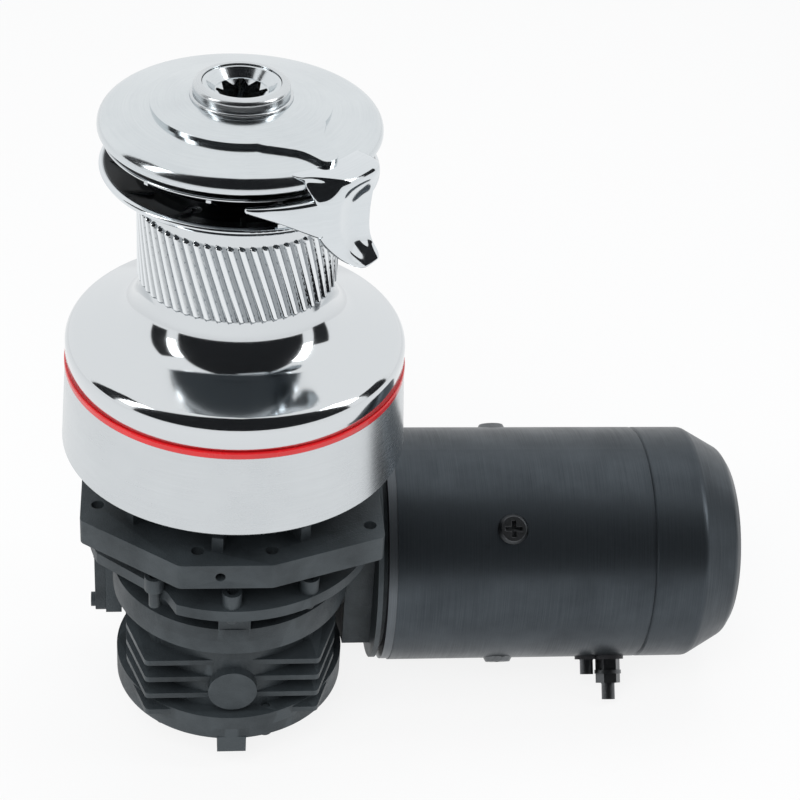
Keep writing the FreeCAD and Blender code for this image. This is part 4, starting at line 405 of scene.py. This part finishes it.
casting = cast_metal("dark_casting", (0.062, 0.075, 0.083), (0.024, 0.030, 0.034), 0.42, 0.60,
                     0.00016)
carbon = cast_metal("pressed_carbon", (0.05, 0.05, 0.05), (0.02, 0.02, 0.02), 0.5, 0.7, 0.00005)
magnet = cast_metal("sintered_magnet", (0.13, 0.13, 0.14), (0.08, 0.08, 0.09), 0.45, 0.6, 0.00005)
winding = cast_metal("varnished_winding", (0.45, 0.19, 0.07), (0.20, 0.08, 0.03), 0.3, 0.45,
                     0.0001, 400.0)
plastic = cast_metal("moulded_plastic", (0.035, 0.035, 0.038), (0.02, 0.02, 0.022), 0.4, 0.55,
                     0.00003)
rubber = cast_metal("moulded_rubber", (0.03, 0.03, 0.03), (0.015, 0.015, 0.015), 0.6, 0.8, 0.00004)
print("finishes:", len(bpy.data.materials))

# %% [markdown]
# Every solid of the frame gets its finish from one table, and what the table leaves out is steel.
# The solids that a finer piece replaces further down are dressed as well, so nothing is left plain.

# %% Dress the solids
FINISHES = [
    (satin, "skirt_ring socket_collar"),
    (enamel, "trim_ring"),
    (plate_chrome, "tailing_arm tail_cover spindle"),
    (chrome, "drum line_stripper"),
    (jaw_chrome, "lower_jaw upper_jaw"),
    (alloy, "base_plate gear_housing jaw_retainer"),
    (casting, "gearbox_top gearbox_lid gearbox_body bottom_cover worm_end_cover motor_adapter"),
    (casting, "gearbox_screws"),
    (motor_shell, "motor_yoke motor_end_cap"),
    (motor_rim, "motor_front_ring"),
    (dark_steel, "pole_screws terminal_nuts terminal_studs hub_bolts"),
    (bronze, "ring_gear spindle_bushes wheel_bushes worm_wheel"),
    (magnet, "motor_magnets"),
    (winding, "armature"),
    (carbon, "brushes"),
    (plastic, "brush_holder terminal_insulators bearing_cages"),
    (rubber, "shaft_seal"),
]
finish_of = {name: material for material, names in FINISHES for name in names.split()}
for name, solid in frame["nodes"].items():
    for slot in solid.material_slots:
        slot.material = finish_of.get(name, steel)
print("dressed by name:", len(finish_of), "as steel:", len(frame["nodes"]) - len(finish_of))


# %% [markdown]
# Round parts are made by turning an outline about the axis. The outline's corners can carry a
# radius, as a drawing gives it, and each rounded corner becomes a short arc of points. A bevel
# afterwards could round them too, but an arc in the outline keeps its exact radius.

# %% Helper: rounded outlines
def rounded_path(corners, steps=7):
    """Corners (radius, height[, rounding]) in mm as a closed list of points in metres."""
    points = []
    count = len(corners)
    for i, corner in enumerate(corners):
        here = Vector(corner[:2])
        rounding = corner[2] if len(corner) > 2 else 0.0
        back = (Vector(corners[i - 1][:2]) - here).normalized()
        ahead = (Vector(corners[(i + 1) % count][:2]) - here).normalized()
        half = back.angle(ahead) / 2.0
        if rounding <= 0.0 or abs(half - math.pi / 2.0) < 1e-6:
            points.append(here * MM)
            continue
        centre = here + (back + ahead).normalized() * (rounding / math.sin(half))
        reach = rounding / math.tan(half)
        first = here + back * reach - centre
        last = here + ahead * reach - centre
        for k in range(steps + 1):
            share = k / steps
            arm = (first * (1.0 - share) + last * share).normalized() * rounding
            points.append((centre + arm) * MM)
    return points


def lathe(path, columns, push=None):
    """Vertices and faces of a closed outline turned about Z. push moves a point outwards."""
    rows = len(path)
    vertices = []
    for radius, height in path:
        for k in range(columns):
            angle = 2.0 * math.pi * k / columns
            reach = radius + (push(angle, radius, height) if push else 0.0)
            vertices.append((reach * math.cos(angle), reach * math.sin(angle), height))
    faces = []
    for i in range(rows):
        j = (i + 1) % rows
        for k in range(columns):
            m = (k + 1) % columns
            faces.append((i * columns + k, i * columns + m, j * columns + m, j * columns + k))
    return vertices, faces


print("points on a square with one rounded corner:",
      len(rounded_path([(0.0, 0.0), (4.0, 0.0), (4.0, 4.0, 1.0), (0.0, 4.0)])))


# %% [markdown]
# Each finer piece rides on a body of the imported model, so it moves with the joints, and names the
# solids that it stands for, which are then hidden.

# %% Helper: add a piece
def add_piece(name, vertices, faces, material, body, replaced=(), sharp=35.0):
    mesh = bpy.data.meshes.new(name)
    mesh.from_pydata([tuple(v) for v in vertices], [], faces)
    mesh.validate()
    mesh.materials.append(material)
    piece = bpy.data.objects.new(name, mesh)
    bpy.context.scene.collection.objects.link(piece)
    bm = bmesh.new()
    bm.from_mesh(mesh)
    bmesh.ops.recalc_face_normals(bm, faces=bm.faces)
    bm.to_mesh(mesh)
    bm.free()
    mesh.shade_smooth()
    mesh.set_sharp_from_angle(angle=math.radians(sharp))
    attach(piece, body)
    if replaced:
        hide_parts(*replaced)
    print(name, "faces:", len(mesh.polygons))
    return piece


def round_off(piece):
    """Two steps of subdivision, which round the whole piece softly."""
    rounder = piece.modifiers.new("rounded", "SUBSURF")
    rounder.levels = 2
    rounder.render_levels = 2


print("helpers: add_piece, round_off")

# %% [markdown]
# The drum's grip is a ring of slanted bars with rounded backs and rounded ends. They are part of
# the barrel, so the barrel's own surface is pushed outwards where a bar lies: a point's distance to
# the nearest bar's middle line gives its height. The sizes are in mm.

# %% Sizes of the drum
DRUM_R = 49.0
LIP_R = 88.0
LIP_Z = 50.3
CONE_FOOT = 65.6
CONE_TOP = CONE_FOOT + (LIP_R - DRUM_R) * 0.38
DRUM_TOP = 150.0
BORE_R = 42.0
RIB_COUNT = 55
RIB_HALF = 1.75
RIB_HEIGHT = 1.8
RIB_MIDDLE = 121.0
RIB_REACH = 21.5
RIB_LEAN = math.tan(math.radians(16.0))
RIB_PITCH = 2.0 * math.pi * DRUM_R / RIB_COUNT
print("from bar to bar in mm:", round(RIB_PITCH, 2))

# %% [markdown]
# The grooves between the bars carry painted shade: a much darker tone than the bars' backs, and a
# little more roughness. The same sum that raises the bars gives a mask here: the place round the
# barrel, counted in bars. Outside the grip the mask keeps one plain value, which gives the drum's
# own tone.

# %% Ribbed chrome
BACK_TONE = (0.80, 0.83, 0.85)
# The groove tone is painted shade between the bars. The back tone is the chrome's own.
GROOVE_PAINTED_SHADE = (0.30, 0.325, 0.345)
PLAIN_SHARE = 0.26
GROOVE_START = 0.16
GROOVE_END = 0.40
WHOLE_TURNS = 100.5


def rib_finish():
    """Polished chrome with painted shade in its grooves, which are darker and duller than the bars'
    backs.
    """
    material, tree, shader = new_material("ribbed_chrome", 1.0, 0.08)
    _, (x, y, z) = object_place(tree)
    angle = maths(tree, "ARCTAN2", y, x)
    around = maths(tree, "MULTIPLY", maths(tree, "ADD", angle, math.pi / 2.0), DRUM_R / RIB_PITCH)
    tall = maths(tree, "SUBTRACT", z, RIB_MIDDLE * MM)
    turns = maths(tree, "ADD", around, maths(tree, "MULTIPLY", tall, RIB_LEAN / RIB_PITCH / MM))
    share = maths(tree, "FRACT", maths(tree, "ADD", turns, WHOLE_TURNS))
    aside = maths(tree, "ABSOLUTE", maths(tree, "SUBTRACT", share, 0.5))
    # This mask places the painted shade in the grooves between the bars.
    groove = spread(tree, aside, 0.0, 1.0, GROOVE_START, GROOVE_END)
    inside = spread(tree, maths(tree, "ABSOLUTE", tall), 1.0, 0.0, (RIB_REACH - 0.6) * MM,
                    (RIB_REACH + 0.2) * MM)
    plain = maths(tree, "MULTIPLY", maths(tree, "SUBTRACT", 1.0, inside), PLAIN_SHARE)
    mask = maths(tree, "ADD", maths(tree, "MULTIPLY", groove, inside), plain)
    tree.links.new(two_tones(tree, mask, BACK_TONE, GROOVE_PAINTED_SHADE), shader.inputs["Base Color"])
    tree.links.new(spread(tree, mask, 0.07, 0.16, 0.0, 1.0), shader.inputs["Roughness"])
    return material


rib_chrome = rib_finish()
print("made", rib_chrome.name)


# %% [markdown]
# The outline of the drum runs up the bore, down the barrel, out over the cone to the lip and back
# inside. On the barrel it has many points, close together near the bars' ends, so that the pushed
# surface can follow the bars.

# %% Drum with its ribs
STEPS_PER_RIB = 14
FINE_STEP = 0.35
COARSE_STEP = 1.0
FINE_ZONE = 3.0
END_GAP = 0.9


def rib_push(angle, radius, height):
    """How far the barrel's surface stands out at a place, in metres."""
    tall = height / MM
    if abs(radius / MM - DRUM_R) > 0.01 or abs(tall - RIB_MIDDLE) > RIB_REACH:
        return 0.0
    place = (angle + math.pi / 2.0) * DRUM_R + (tall - RIB_MIDDLE) * RIB_LEAN
    aside = (place / RIB_PITCH + 0.5) % 1.0 - 0.5
    beyond = max(0.0, abs(tall - RIB_MIDDLE) - (RIB_REACH - RIB_HALF))
    away = math.hypot(aside * RIB_PITCH, beyond) / RIB_HALF
    return RIB_HEIGHT * MM * math.sqrt(1.0 - away * away) if away < 1.0 else 0.0


barrel = [(BORE_R, DRUM_TOP), (DRUM_R, DRUM_TOP), (DRUM_R, RIB_MIDDLE + RIB_REACH + END_GAP)]
height = RIB_MIDDLE + RIB_REACH + 0.2
while height > RIB_MIDDLE - RIB_REACH - 0.2:
    barrel.append((DRUM_R, height))
    near_end = abs(height - RIB_MIDDLE) > RIB_REACH - FINE_ZONE
    height -= FINE_STEP if near_end else COARSE_STEP
barrel.append((DRUM_R, RIB_MIDDLE - RIB_REACH - END_GAP))
drum_path = rounded_path(barrel + [
    (DRUM_R, CONE_TOP, 22.0), (LIP_R, CONE_FOOT, 8.0), (LIP_R, LIP_Z + 0.5), (LIP_R - 0.5, LIP_Z),
    (LIP_R - 3.6, LIP_Z), (LIP_R - 3.6, LIP_Z + 6.0), (77.0, LIP_Z + 8.0), (77.0, 39.0),
    (72.0, 39.0), (72.0, 55.0), (63.0, 55.0), (63.0, 67.5), (BORE_R, 67.5)], steps=12)
vertices, faces = lathe(drum_path, RIB_COUNT * STEPS_PER_RIB, rib_push)
add_piece("ribbed_drum", vertices, faces, rib_chrome, "drum", ["drum"], sharp=50.0)

# %% [markdown]
# The self-tailing arm is a round plate with a gently crowned top and a rounded rim. It is turned
# like the drum, with many steps in the rim, because a polished rim shows every flat.

# %% Arm plate
ARM_R = 69.0
ARM_LOW = 181.8
ARM_TOP = 196.0
ARM_EDGE = 189.0
CROWN_IN = 25.0


def crown(radius):
    """Height of the arm's top in mm at a radius in mm."""
    return ARM_TOP + (ARM_EDGE - ARM_TOP) * (radius - CROWN_IN) / (ARM_R - CROWN_IN)


arm_path = rounded_path([
    (19.6, 176.0), (26.0, 176.0), (26.0, ARM_LOW + 4.0, 2.0), (ARM_R - 7.0, ARM_LOW + 3.0, 1.0),
    (ARM_R - 4.5, ARM_LOW, 0.8), (ARM_R + 0.3, ARM_LOW, 0.8),
    (ARM_R + 0.3, crown(ARM_R), 6.6), (CROWN_IN, ARM_TOP), (19.6, ARM_TOP)], steps=16)
vertices, faces = lathe(arm_path, 256)
add_piece("arm_plate", vertices, faces, plate_chrome, "stand", ["tailing_arm"],
          sharp=40.0)

# %% [markdown]
# From the arm's rim a guide hangs down, which catches the line and leads it into the jaws. It is a
# bent sheet with a hollow face and a flared lip, and it grows out of the rim on its left. A lathe
# can't make it, so it is drawn row by row from top to bottom, and two steps of subdivision round
# it. Each row of the table gives, in mm, the height from the arm's underside, the outer radius, the
# left edge, the right edge, the hollow and the thickness.

# %% Rows of the line guide
GUIDE_ANGLE = math.radians(-50.0)
GUIDE_R = 75.0
GUIDE_COLUMNS = 16
GUIDE_ROWS = [
    (8.2, 57.0, -33.0, 21.0, 0.0, 2.0), (8.0, 63.0, -31.5, 21.0, 0.0, 3.0),
    (7.5, 68.5, -28.5, 21.0, 0.0, 4.0), (7.0, 73.5, -25.5, 21.0, 0.0, 4.6),
    (5.8, 77.4, -23.5, 21.0, 0.0, 5.0), (3.4, 79.4, -22.0, 20.8, 0.2, 5.2),
    (0.0, 79.6, -21.0, 20.2, 1.0, 5.2), (-4.0, 78.6, -19.4, 19.8, 2.2, 5.2),
    (-10.0, 77.6, -18.6, 19.2, 3.4, 5.0), (-16.0, 77.2, -18.2, 18.8, 3.8, 5.0),
    (-21.0, 77.0, -17.4, 18.6, 3.9, 4.8), (-26.0, 76.8, -15.4, 18.8, 3.8, 4.8),
    (-31.0, 76.8, -11.4, 19.2, 3.4, 4.6), (-35.5, 77.2, -7.2, 20.0, 2.6, 4.4),
    (-39.5, 78.4, -3.0, 21.0, 1.6, 4.2), (-42.5, 79.8, 0.8, 21.8, 0.6, 4.0),
    (-44.8, 81.0, 4.4, 21.6, 0.0, 3.8), (-46.2, 81.4, 7.6, 20.2, 0.0, 3.4)]
print("the guide hangs", -GUIDE_ROWS[-1][0], "mm below the arm")

# %% [markdown]
# The outer side of the sheet is hollowed by the row's own depth, eased at both edges, and drawn in
# towards the rim at the top left. The inner side follows it at the row's thickness, but never
# closer to the axis than the jaws allow.

# %% Line guide
JAW_CLEAR_R = 70.7
CHANNEL_HALF = 0.34
EDGE_EASE = 1.4
EDGE_START = 0.7
BLEND_WIDTH = 0.45
BLEND_LOW = -3.0
BLEND_TALL = 6.0
RIM_ABOVE_R = 69.4
RIM_BELOW_R = 71.8
ON_PLATE = 2.0


def rim_point(reach, along, tall):
    """A point in metres by its radius, its place along the rim and its height from the arm."""
    angle = GUIDE_ANGLE + along / GUIDE_R
    return reach * math.cos(angle) * MM, reach * math.sin(angle) * MM, (ARM_LOW + tall) * MM


def guide_reach(row, share):
    """Outer radius of a row at a share of its width, and the depth of the channel there."""
    tall, radius, low, high, hollow, _ = row
    half = (high - low) * CHANNEL_HALF
    middle = low * CHANNEL_HALF + high * (1.0 - CHANNEL_HALF)
    along = low + (high - low) * share
    dip = hollow * max(0.0, 1.0 - ((along - middle) / half) ** 2)
    side = max(0.0, abs(2.0 * share - 1.0) - EDGE_START) / (1.0 - EDGE_START)
    reach = radius - dip - EDGE_EASE * side
    rim = RIM_ABOVE_R if tall >= ON_PLATE else RIM_BELOW_R
    if tall > BLEND_LOW and reach > rim:
        left = max(0.0, 1.0 - share / BLEND_WIDTH)
        blend = left * left * (3.0 - 2.0 * left) * min(1.0, (tall - BLEND_LOW) / BLEND_TALL)
        reach -= (reach - rim) * blend
    return reach, dip


def guide_points(inner):
    """Outer or inner grid of the guide."""
    points = []
    for row in GUIDE_ROWS:
        tall, _, low, high, _, thick = row
        for k in range(GUIDE_COLUMNS + 1):
            share = k / GUIDE_COLUMNS
            reach, dip = guide_reach(row, share)
            drop = 0.0
            if inner and tall > 0.0:
                drop = min(thick * 0.9, tall - 1.0)
            if inner and tall >= ON_PLATE:
                reach -= thick
            elif inner:
                reach = max(reach - thick + 0.5 * dip, JAW_CLEAR_R)
            points.append(rim_point(reach, low + (high - low) * share, tall - drop))
    return points


def sheet_faces(rows, columns):
    """Faces of a closed slab: an outer grid, an inner grid and the four rims between them."""
    wide = columns + 1
    back = rows * wide
    faces = []
    for i in range(rows - 1):
        for k in range(columns):
            a = i * wide + k
            faces.append((a, a + 1, a + wide + 1, a + wide))
            faces.append((back + a + wide, back + a + wide + 1, back + a + 1, back + a))
    for k in range(columns):
        faces.append((k, back + k, back + k + 1, k + 1))
        a = (rows - 1) * wide + k
        faces.append((a + 1, back + a + 1, back + a, a))
    for i in range(rows - 1):
        a = i * wide
        faces.append((a + wide, back + a + wide, back + a, a))
        a = i * wide + columns
        faces.append((a, back + a, back + a + wide, a + wide))
    return faces


guide = add_piece("line_guide", guide_points(False) + guide_points(True),
                  sheet_faces(len(GUIDE_ROWS), GUIDE_COLUMNS), chrome, "stand", ["tailing_arm"],
                  sharp=180.0)
round_off(guide)

# %% [markdown]
# Beside the guide a thin tapering feeder lies in front of the jaws. It is drawn like the guide, in
# columns from the guide towards the front. Each column gives, in mm, the place along the rim, the
# top, the bottom and the outer radius.

# %% Feeder beside the guide
FEEDER = [(-13.0, -2.6, -26.0, 76.6), (-19.0, -2.8, -22.6, 76.4), (-26.0, -3.1, -18.2, 76.2),
          (-33.0, -3.5, -14.2, 75.8), (-40.0, -3.9, -11.0, 75.0), (-47.0, -4.4, -8.6, 74.0),
          (-53.0, -5.0, -7.0, 72.8)]
FEEDER_IN = 70.8
FEEDER_ROWS = 6
FEEDER_BULGE = 0.6


def feeder_points(inner):
    """Outer or inner grid of the feeder."""
    points = []
    for along, top, low, out in FEEDER:
        for k in range(FEEDER_ROWS + 1):
            share = k / FEEDER_ROWS
            reach = FEEDER_IN if inner else out + FEEDER_BULGE * math.sin(math.pi * share)
            points.append(rim_point(reach, along, top + (low - top) * share))
    return points


feeder = add_piece("line_feeder", feeder_points(False) + feeder_points(True),
                   sheet_faces(len(FEEDER), FEEDER_ROWS), chrome, "stand", (),
                   sharp=180.0)
round_off(feeder)


# %% [markdown]
# Castings never have knife edges. A copy of each cast solid is cleaned to plain faces, and a bevel
# rounds every edge that is sharp enough. The copy stands for its solid and rides on the same body.

# %% Castings and small parts with eased edges
def eased_copy(node, width, material, segments=2, limit=28.0):
    """A copy of a solid with bevelled edges. The width is in mm and the limit in degrees."""
    solid = frame["nodes"][node]
    mesh = solid.data.copy()
    mesh.name = node + "_eased"
    bm = bmesh.new()
    bm.from_mesh(mesh)
    bmesh.ops.remove_doubles(bm, verts=bm.verts, dist=0.00001)
    bmesh.ops.dissolve_limit(bm, angle_limit=math.radians(0.4), verts=bm.verts, edges=bm.edges)
    bmesh.ops.recalc_face_normals(bm, faces=bm.faces)
    bm.to_mesh(mesh)
    bm.free()
    mesh.materials.clear()
    mesh.materials.append(material)
    mesh.shade_smooth()
    mesh.set_sharp_from_angle(angle=math.radians(limit))
    piece = bpy.data.objects.new(node + "_eased", mesh)
    bpy.context.scene.collection.objects.link(piece)
    bevel = piece.modifiers.new("eased", "BEVEL")
    bevel.width = width * MM
    bevel.segments = segments
    bevel.limit_method = "ANGLE"
    bevel.angle_limit = math.radians(limit)
    bevel.harden_normals = True
    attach(piece, solid["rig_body"])
    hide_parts(node)
    print(piece.name, "faces before the bevel:", len(mesh.polygons))


CASTINGS = [("gearbox_top", 1.0), ("gearbox_lid", 0.9), ("gearbox_body", 0.9),
            ("bottom_cover", 0.8), ("motor_adapter", 0.8), ("worm_end_cover", 0.8)]
for node, width in CASTINGS:
    eased_copy(node, width, casting)
eased_copy("gearbox_screws", 0.6, casting)
eased_copy("tail_cover", 0.7, plate_chrome, segments=3)
eased_copy("pole_screws", 0.35, dark_steel)


# %% [markdown]
# Chrome is only as good as its surroundings. The background is white for everything that looks at
# it: the camera, reflections and glass. Dull surfaces get a weaker, even light from the world, so
# the white costs them nothing. A path's kind decides which of the two it sees.

# %% World
def looks_on(tree):
    """1 for the rays that show the background, 0 for those that only light."""
    path = add(tree, "ShaderNodeLightPath")
    seen = maths(tree, "MAXIMUM", path.outputs["Is Camera Ray"], path.outputs["Is Glossy Ray"])
    return maths(tree, "MAXIMUM", seen, path.outputs["Is Transmission Ray"])


def mix_shaders(tree, share, first, second, target):
    mix = add(tree, "ShaderNodeMixShader")
    tree.links.new(share, mix.inputs[0])
    tree.links.new(first.outputs[0], mix.inputs[1])
    tree.links.new(second.outputs[0], mix.inputs[2])
    tree.links.new(mix.outputs[0], target)


world = bpy.data.worlds.new("studio")
world.use_nodes = True
bpy.context.scene.world = world
tree = world.node_tree
tree.nodes.clear()
soft_light = add(tree, "ShaderNodeBackground", Color=(0.93, 0.96, 1.0, 1.0), Strength=0.45)
white = add(tree, "ShaderNodeBackground", Color=(1.0, 1.0, 1.0, 1.0), Strength=1.0)
out = add(tree, "ShaderNodeOutputWorld")
mix_shaders(tree, looks_on(tree), soft_light, white, out.inputs[0])
print("world nodes:", len(tree.nodes))


# %% [markdown]
# The floor is a wide pale square just below the winch. It takes the winch's shadow, and most of its
# white is a glow that only looks see, which hides its far edge.

# %% Floor
FLOOR_GAP = 0.002
FLOOR_GLOW = 0.86


def plain_square(name, half, place, aim=(0.0, 0.0, 1.0)):
    mesh = bpy.data.meshes.new(name)
    wide, tall = half
    corners = [(-wide, -tall, 0), (wide, -tall, 0), (wide, tall, 0), (-wide, tall, 0)]
    mesh.from_pydata(corners, [], [(0, 1, 2, 3)])
    thing = bpy.data.objects.new(name, mesh)
    thing.rotation_mode = "QUATERNION"
    thing.rotation_quaternion = Vector(aim).to_track_quat("Z", "Y")
    thing.location = place
    bpy.context.scene.collection.objects.link(thing)
    return thing


floor = plain_square("floor", (6.0, 6.0), (0.0, 0.0, cad_low.z - FLOOR_GAP))
floor_paint, tree, shader = new_material("floor_paint", 0.0, 0.9)
shader.inputs["Base Color"].default_value = (0.80, 0.80, 0.80, 1.0)
glow = add(tree, "ShaderNodeEmission", Color=(1.0, 1.0, 1.0, 1.0), Strength=1.0)
mix_shaders(tree, maths(tree, "MULTIPLY", looks_on(tree), FLOOR_GLOW), shader, glow,
            tree.nodes["Material Output"].inputs["Surface"])
floor.data.materials.append(floor_paint)
print("floor at", round(floor.location.z, 4), "m")

# %% [markdown]
# Polished metal needs something dark to reflect, or it looks like white plastic. Two patches of a
# large dark sphere in front and at the left, and a dark card at the right, put the crisp bands
# into it. Only reflections see them: the camera doesn't, and they throw no shadow.

# %% Dark domes and card
STUDIO_CENTRE = Vector((0.03, 0.0, 0.08))
card_paint, tree, shader = new_material("card_paint", 0.0, 0.9)
shader.inputs["Base Color"].default_value = (0.012, 0.013, 0.015, 1.0)


def direction(azimuth, elevation):
    """Unit vector by its angles in degrees. Azimuth 0 is the front, and 90 is the motor's end."""
    a = math.radians(azimuth)
    e = math.radians(elevation)
    return Vector((math.sin(a) * math.cos(e), -math.cos(a) * math.cos(e), math.sin(e)))


def for_reflections_only(thing):
    thing.data.materials.append(card_paint)
    thing.visible_camera = False
    thing.visible_diffuse = False
    thing.visible_shadow = False


def dark_card(name, azimuth, elevation, reach, half):
    away = direction(azimuth, elevation)
    for_reflections_only(plain_square(name, half, STUDIO_CENTRE + away * reach, -away))


def dark_dome(name, azimuths, elevations, radius, steps=24):
    corners = []
    for i in range(steps + 1):
        azimuth = azimuths[0] + (azimuths[1] - azimuths[0]) * i / steps
        for k in range(steps + 1):
            elevation = elevations[0] + (elevations[1] - elevations[0]) * k / steps
            corners.append(tuple(STUDIO_CENTRE + radius * direction(azimuth, elevation)))
    wide = steps + 1
    faces = [(i * wide + k, i * wide + k + 1, (i + 1) * wide + k + 1, (i + 1) * wide + k)
             for i in range(steps) for k in range(steps)]
    mesh = bpy.data.meshes.new(name)
    mesh.from_pydata(corners, [], faces)
    dome = bpy.data.objects.new(name, mesh)
    bpy.context.scene.collection.objects.link(dome)
    for_reflections_only(dome)


dark_dome("dome_front", (-66.0, 72.0), (0.0, 86.0), 2.4)
dark_dome("dome_left", (-100.0, -80.0), (2.0, 50.0), 2.4)
dark_card("card_right", 96.0, 12.0, 2.0, (0.35, 0.6))


# %% [markdown]
# Four large, soft lamps light the winch at a plain level. The two narrow ones at the sides also
# show in the chrome as thin white strips. The others would only burn out the arm's top, so
# reflections don't see them.

# %% Lamps
LAMP_AIM = Vector((0.05, 0.0, 0.0))
LAMP_REACH = 1.7


def softbox(name, azimuth, elevation, size, power, reflected):
    data = bpy.data.lights.new(name, "AREA")
    data.shape = "RECTANGLE"
    data.size, data.size_y = size
    data.energy = power
    lamp = bpy.data.objects.new(name, data)
    away = direction(azimuth, elevation)
    lamp.location = LAMP_AIM + away * LAMP_REACH
    lamp.rotation_mode = "QUATERNION"
    lamp.rotation_quaternion = away.to_track_quat("Z", "Y")
    lamp.visible_glossy = reflected
    bpy.context.scene.collection.objects.link(lamp)


softbox("lamp_back", 165.0, 62.0, (1.6, 0.9), 12.0, reflected=False)
softbox("lamp_left", -74.0, 34.0, (0.25, 0.9), 4.0, reflected=True)
softbox("lamp_right", 78.0, 40.0, (0.3, 0.9), 5.0, reflected=True)
softbox("lamp_front", -25.0, 48.0, (1.0, 1.0), 16.0, reflected=False)
print("lamps in watts:", {lamp.name: lamp.energy for lamp in bpy.data.lights})

# %% [markdown]
# The colours are shown plainly, with no film look.

# %% Finish
bpy.context.scene.view_settings.view_transform = "Standard"
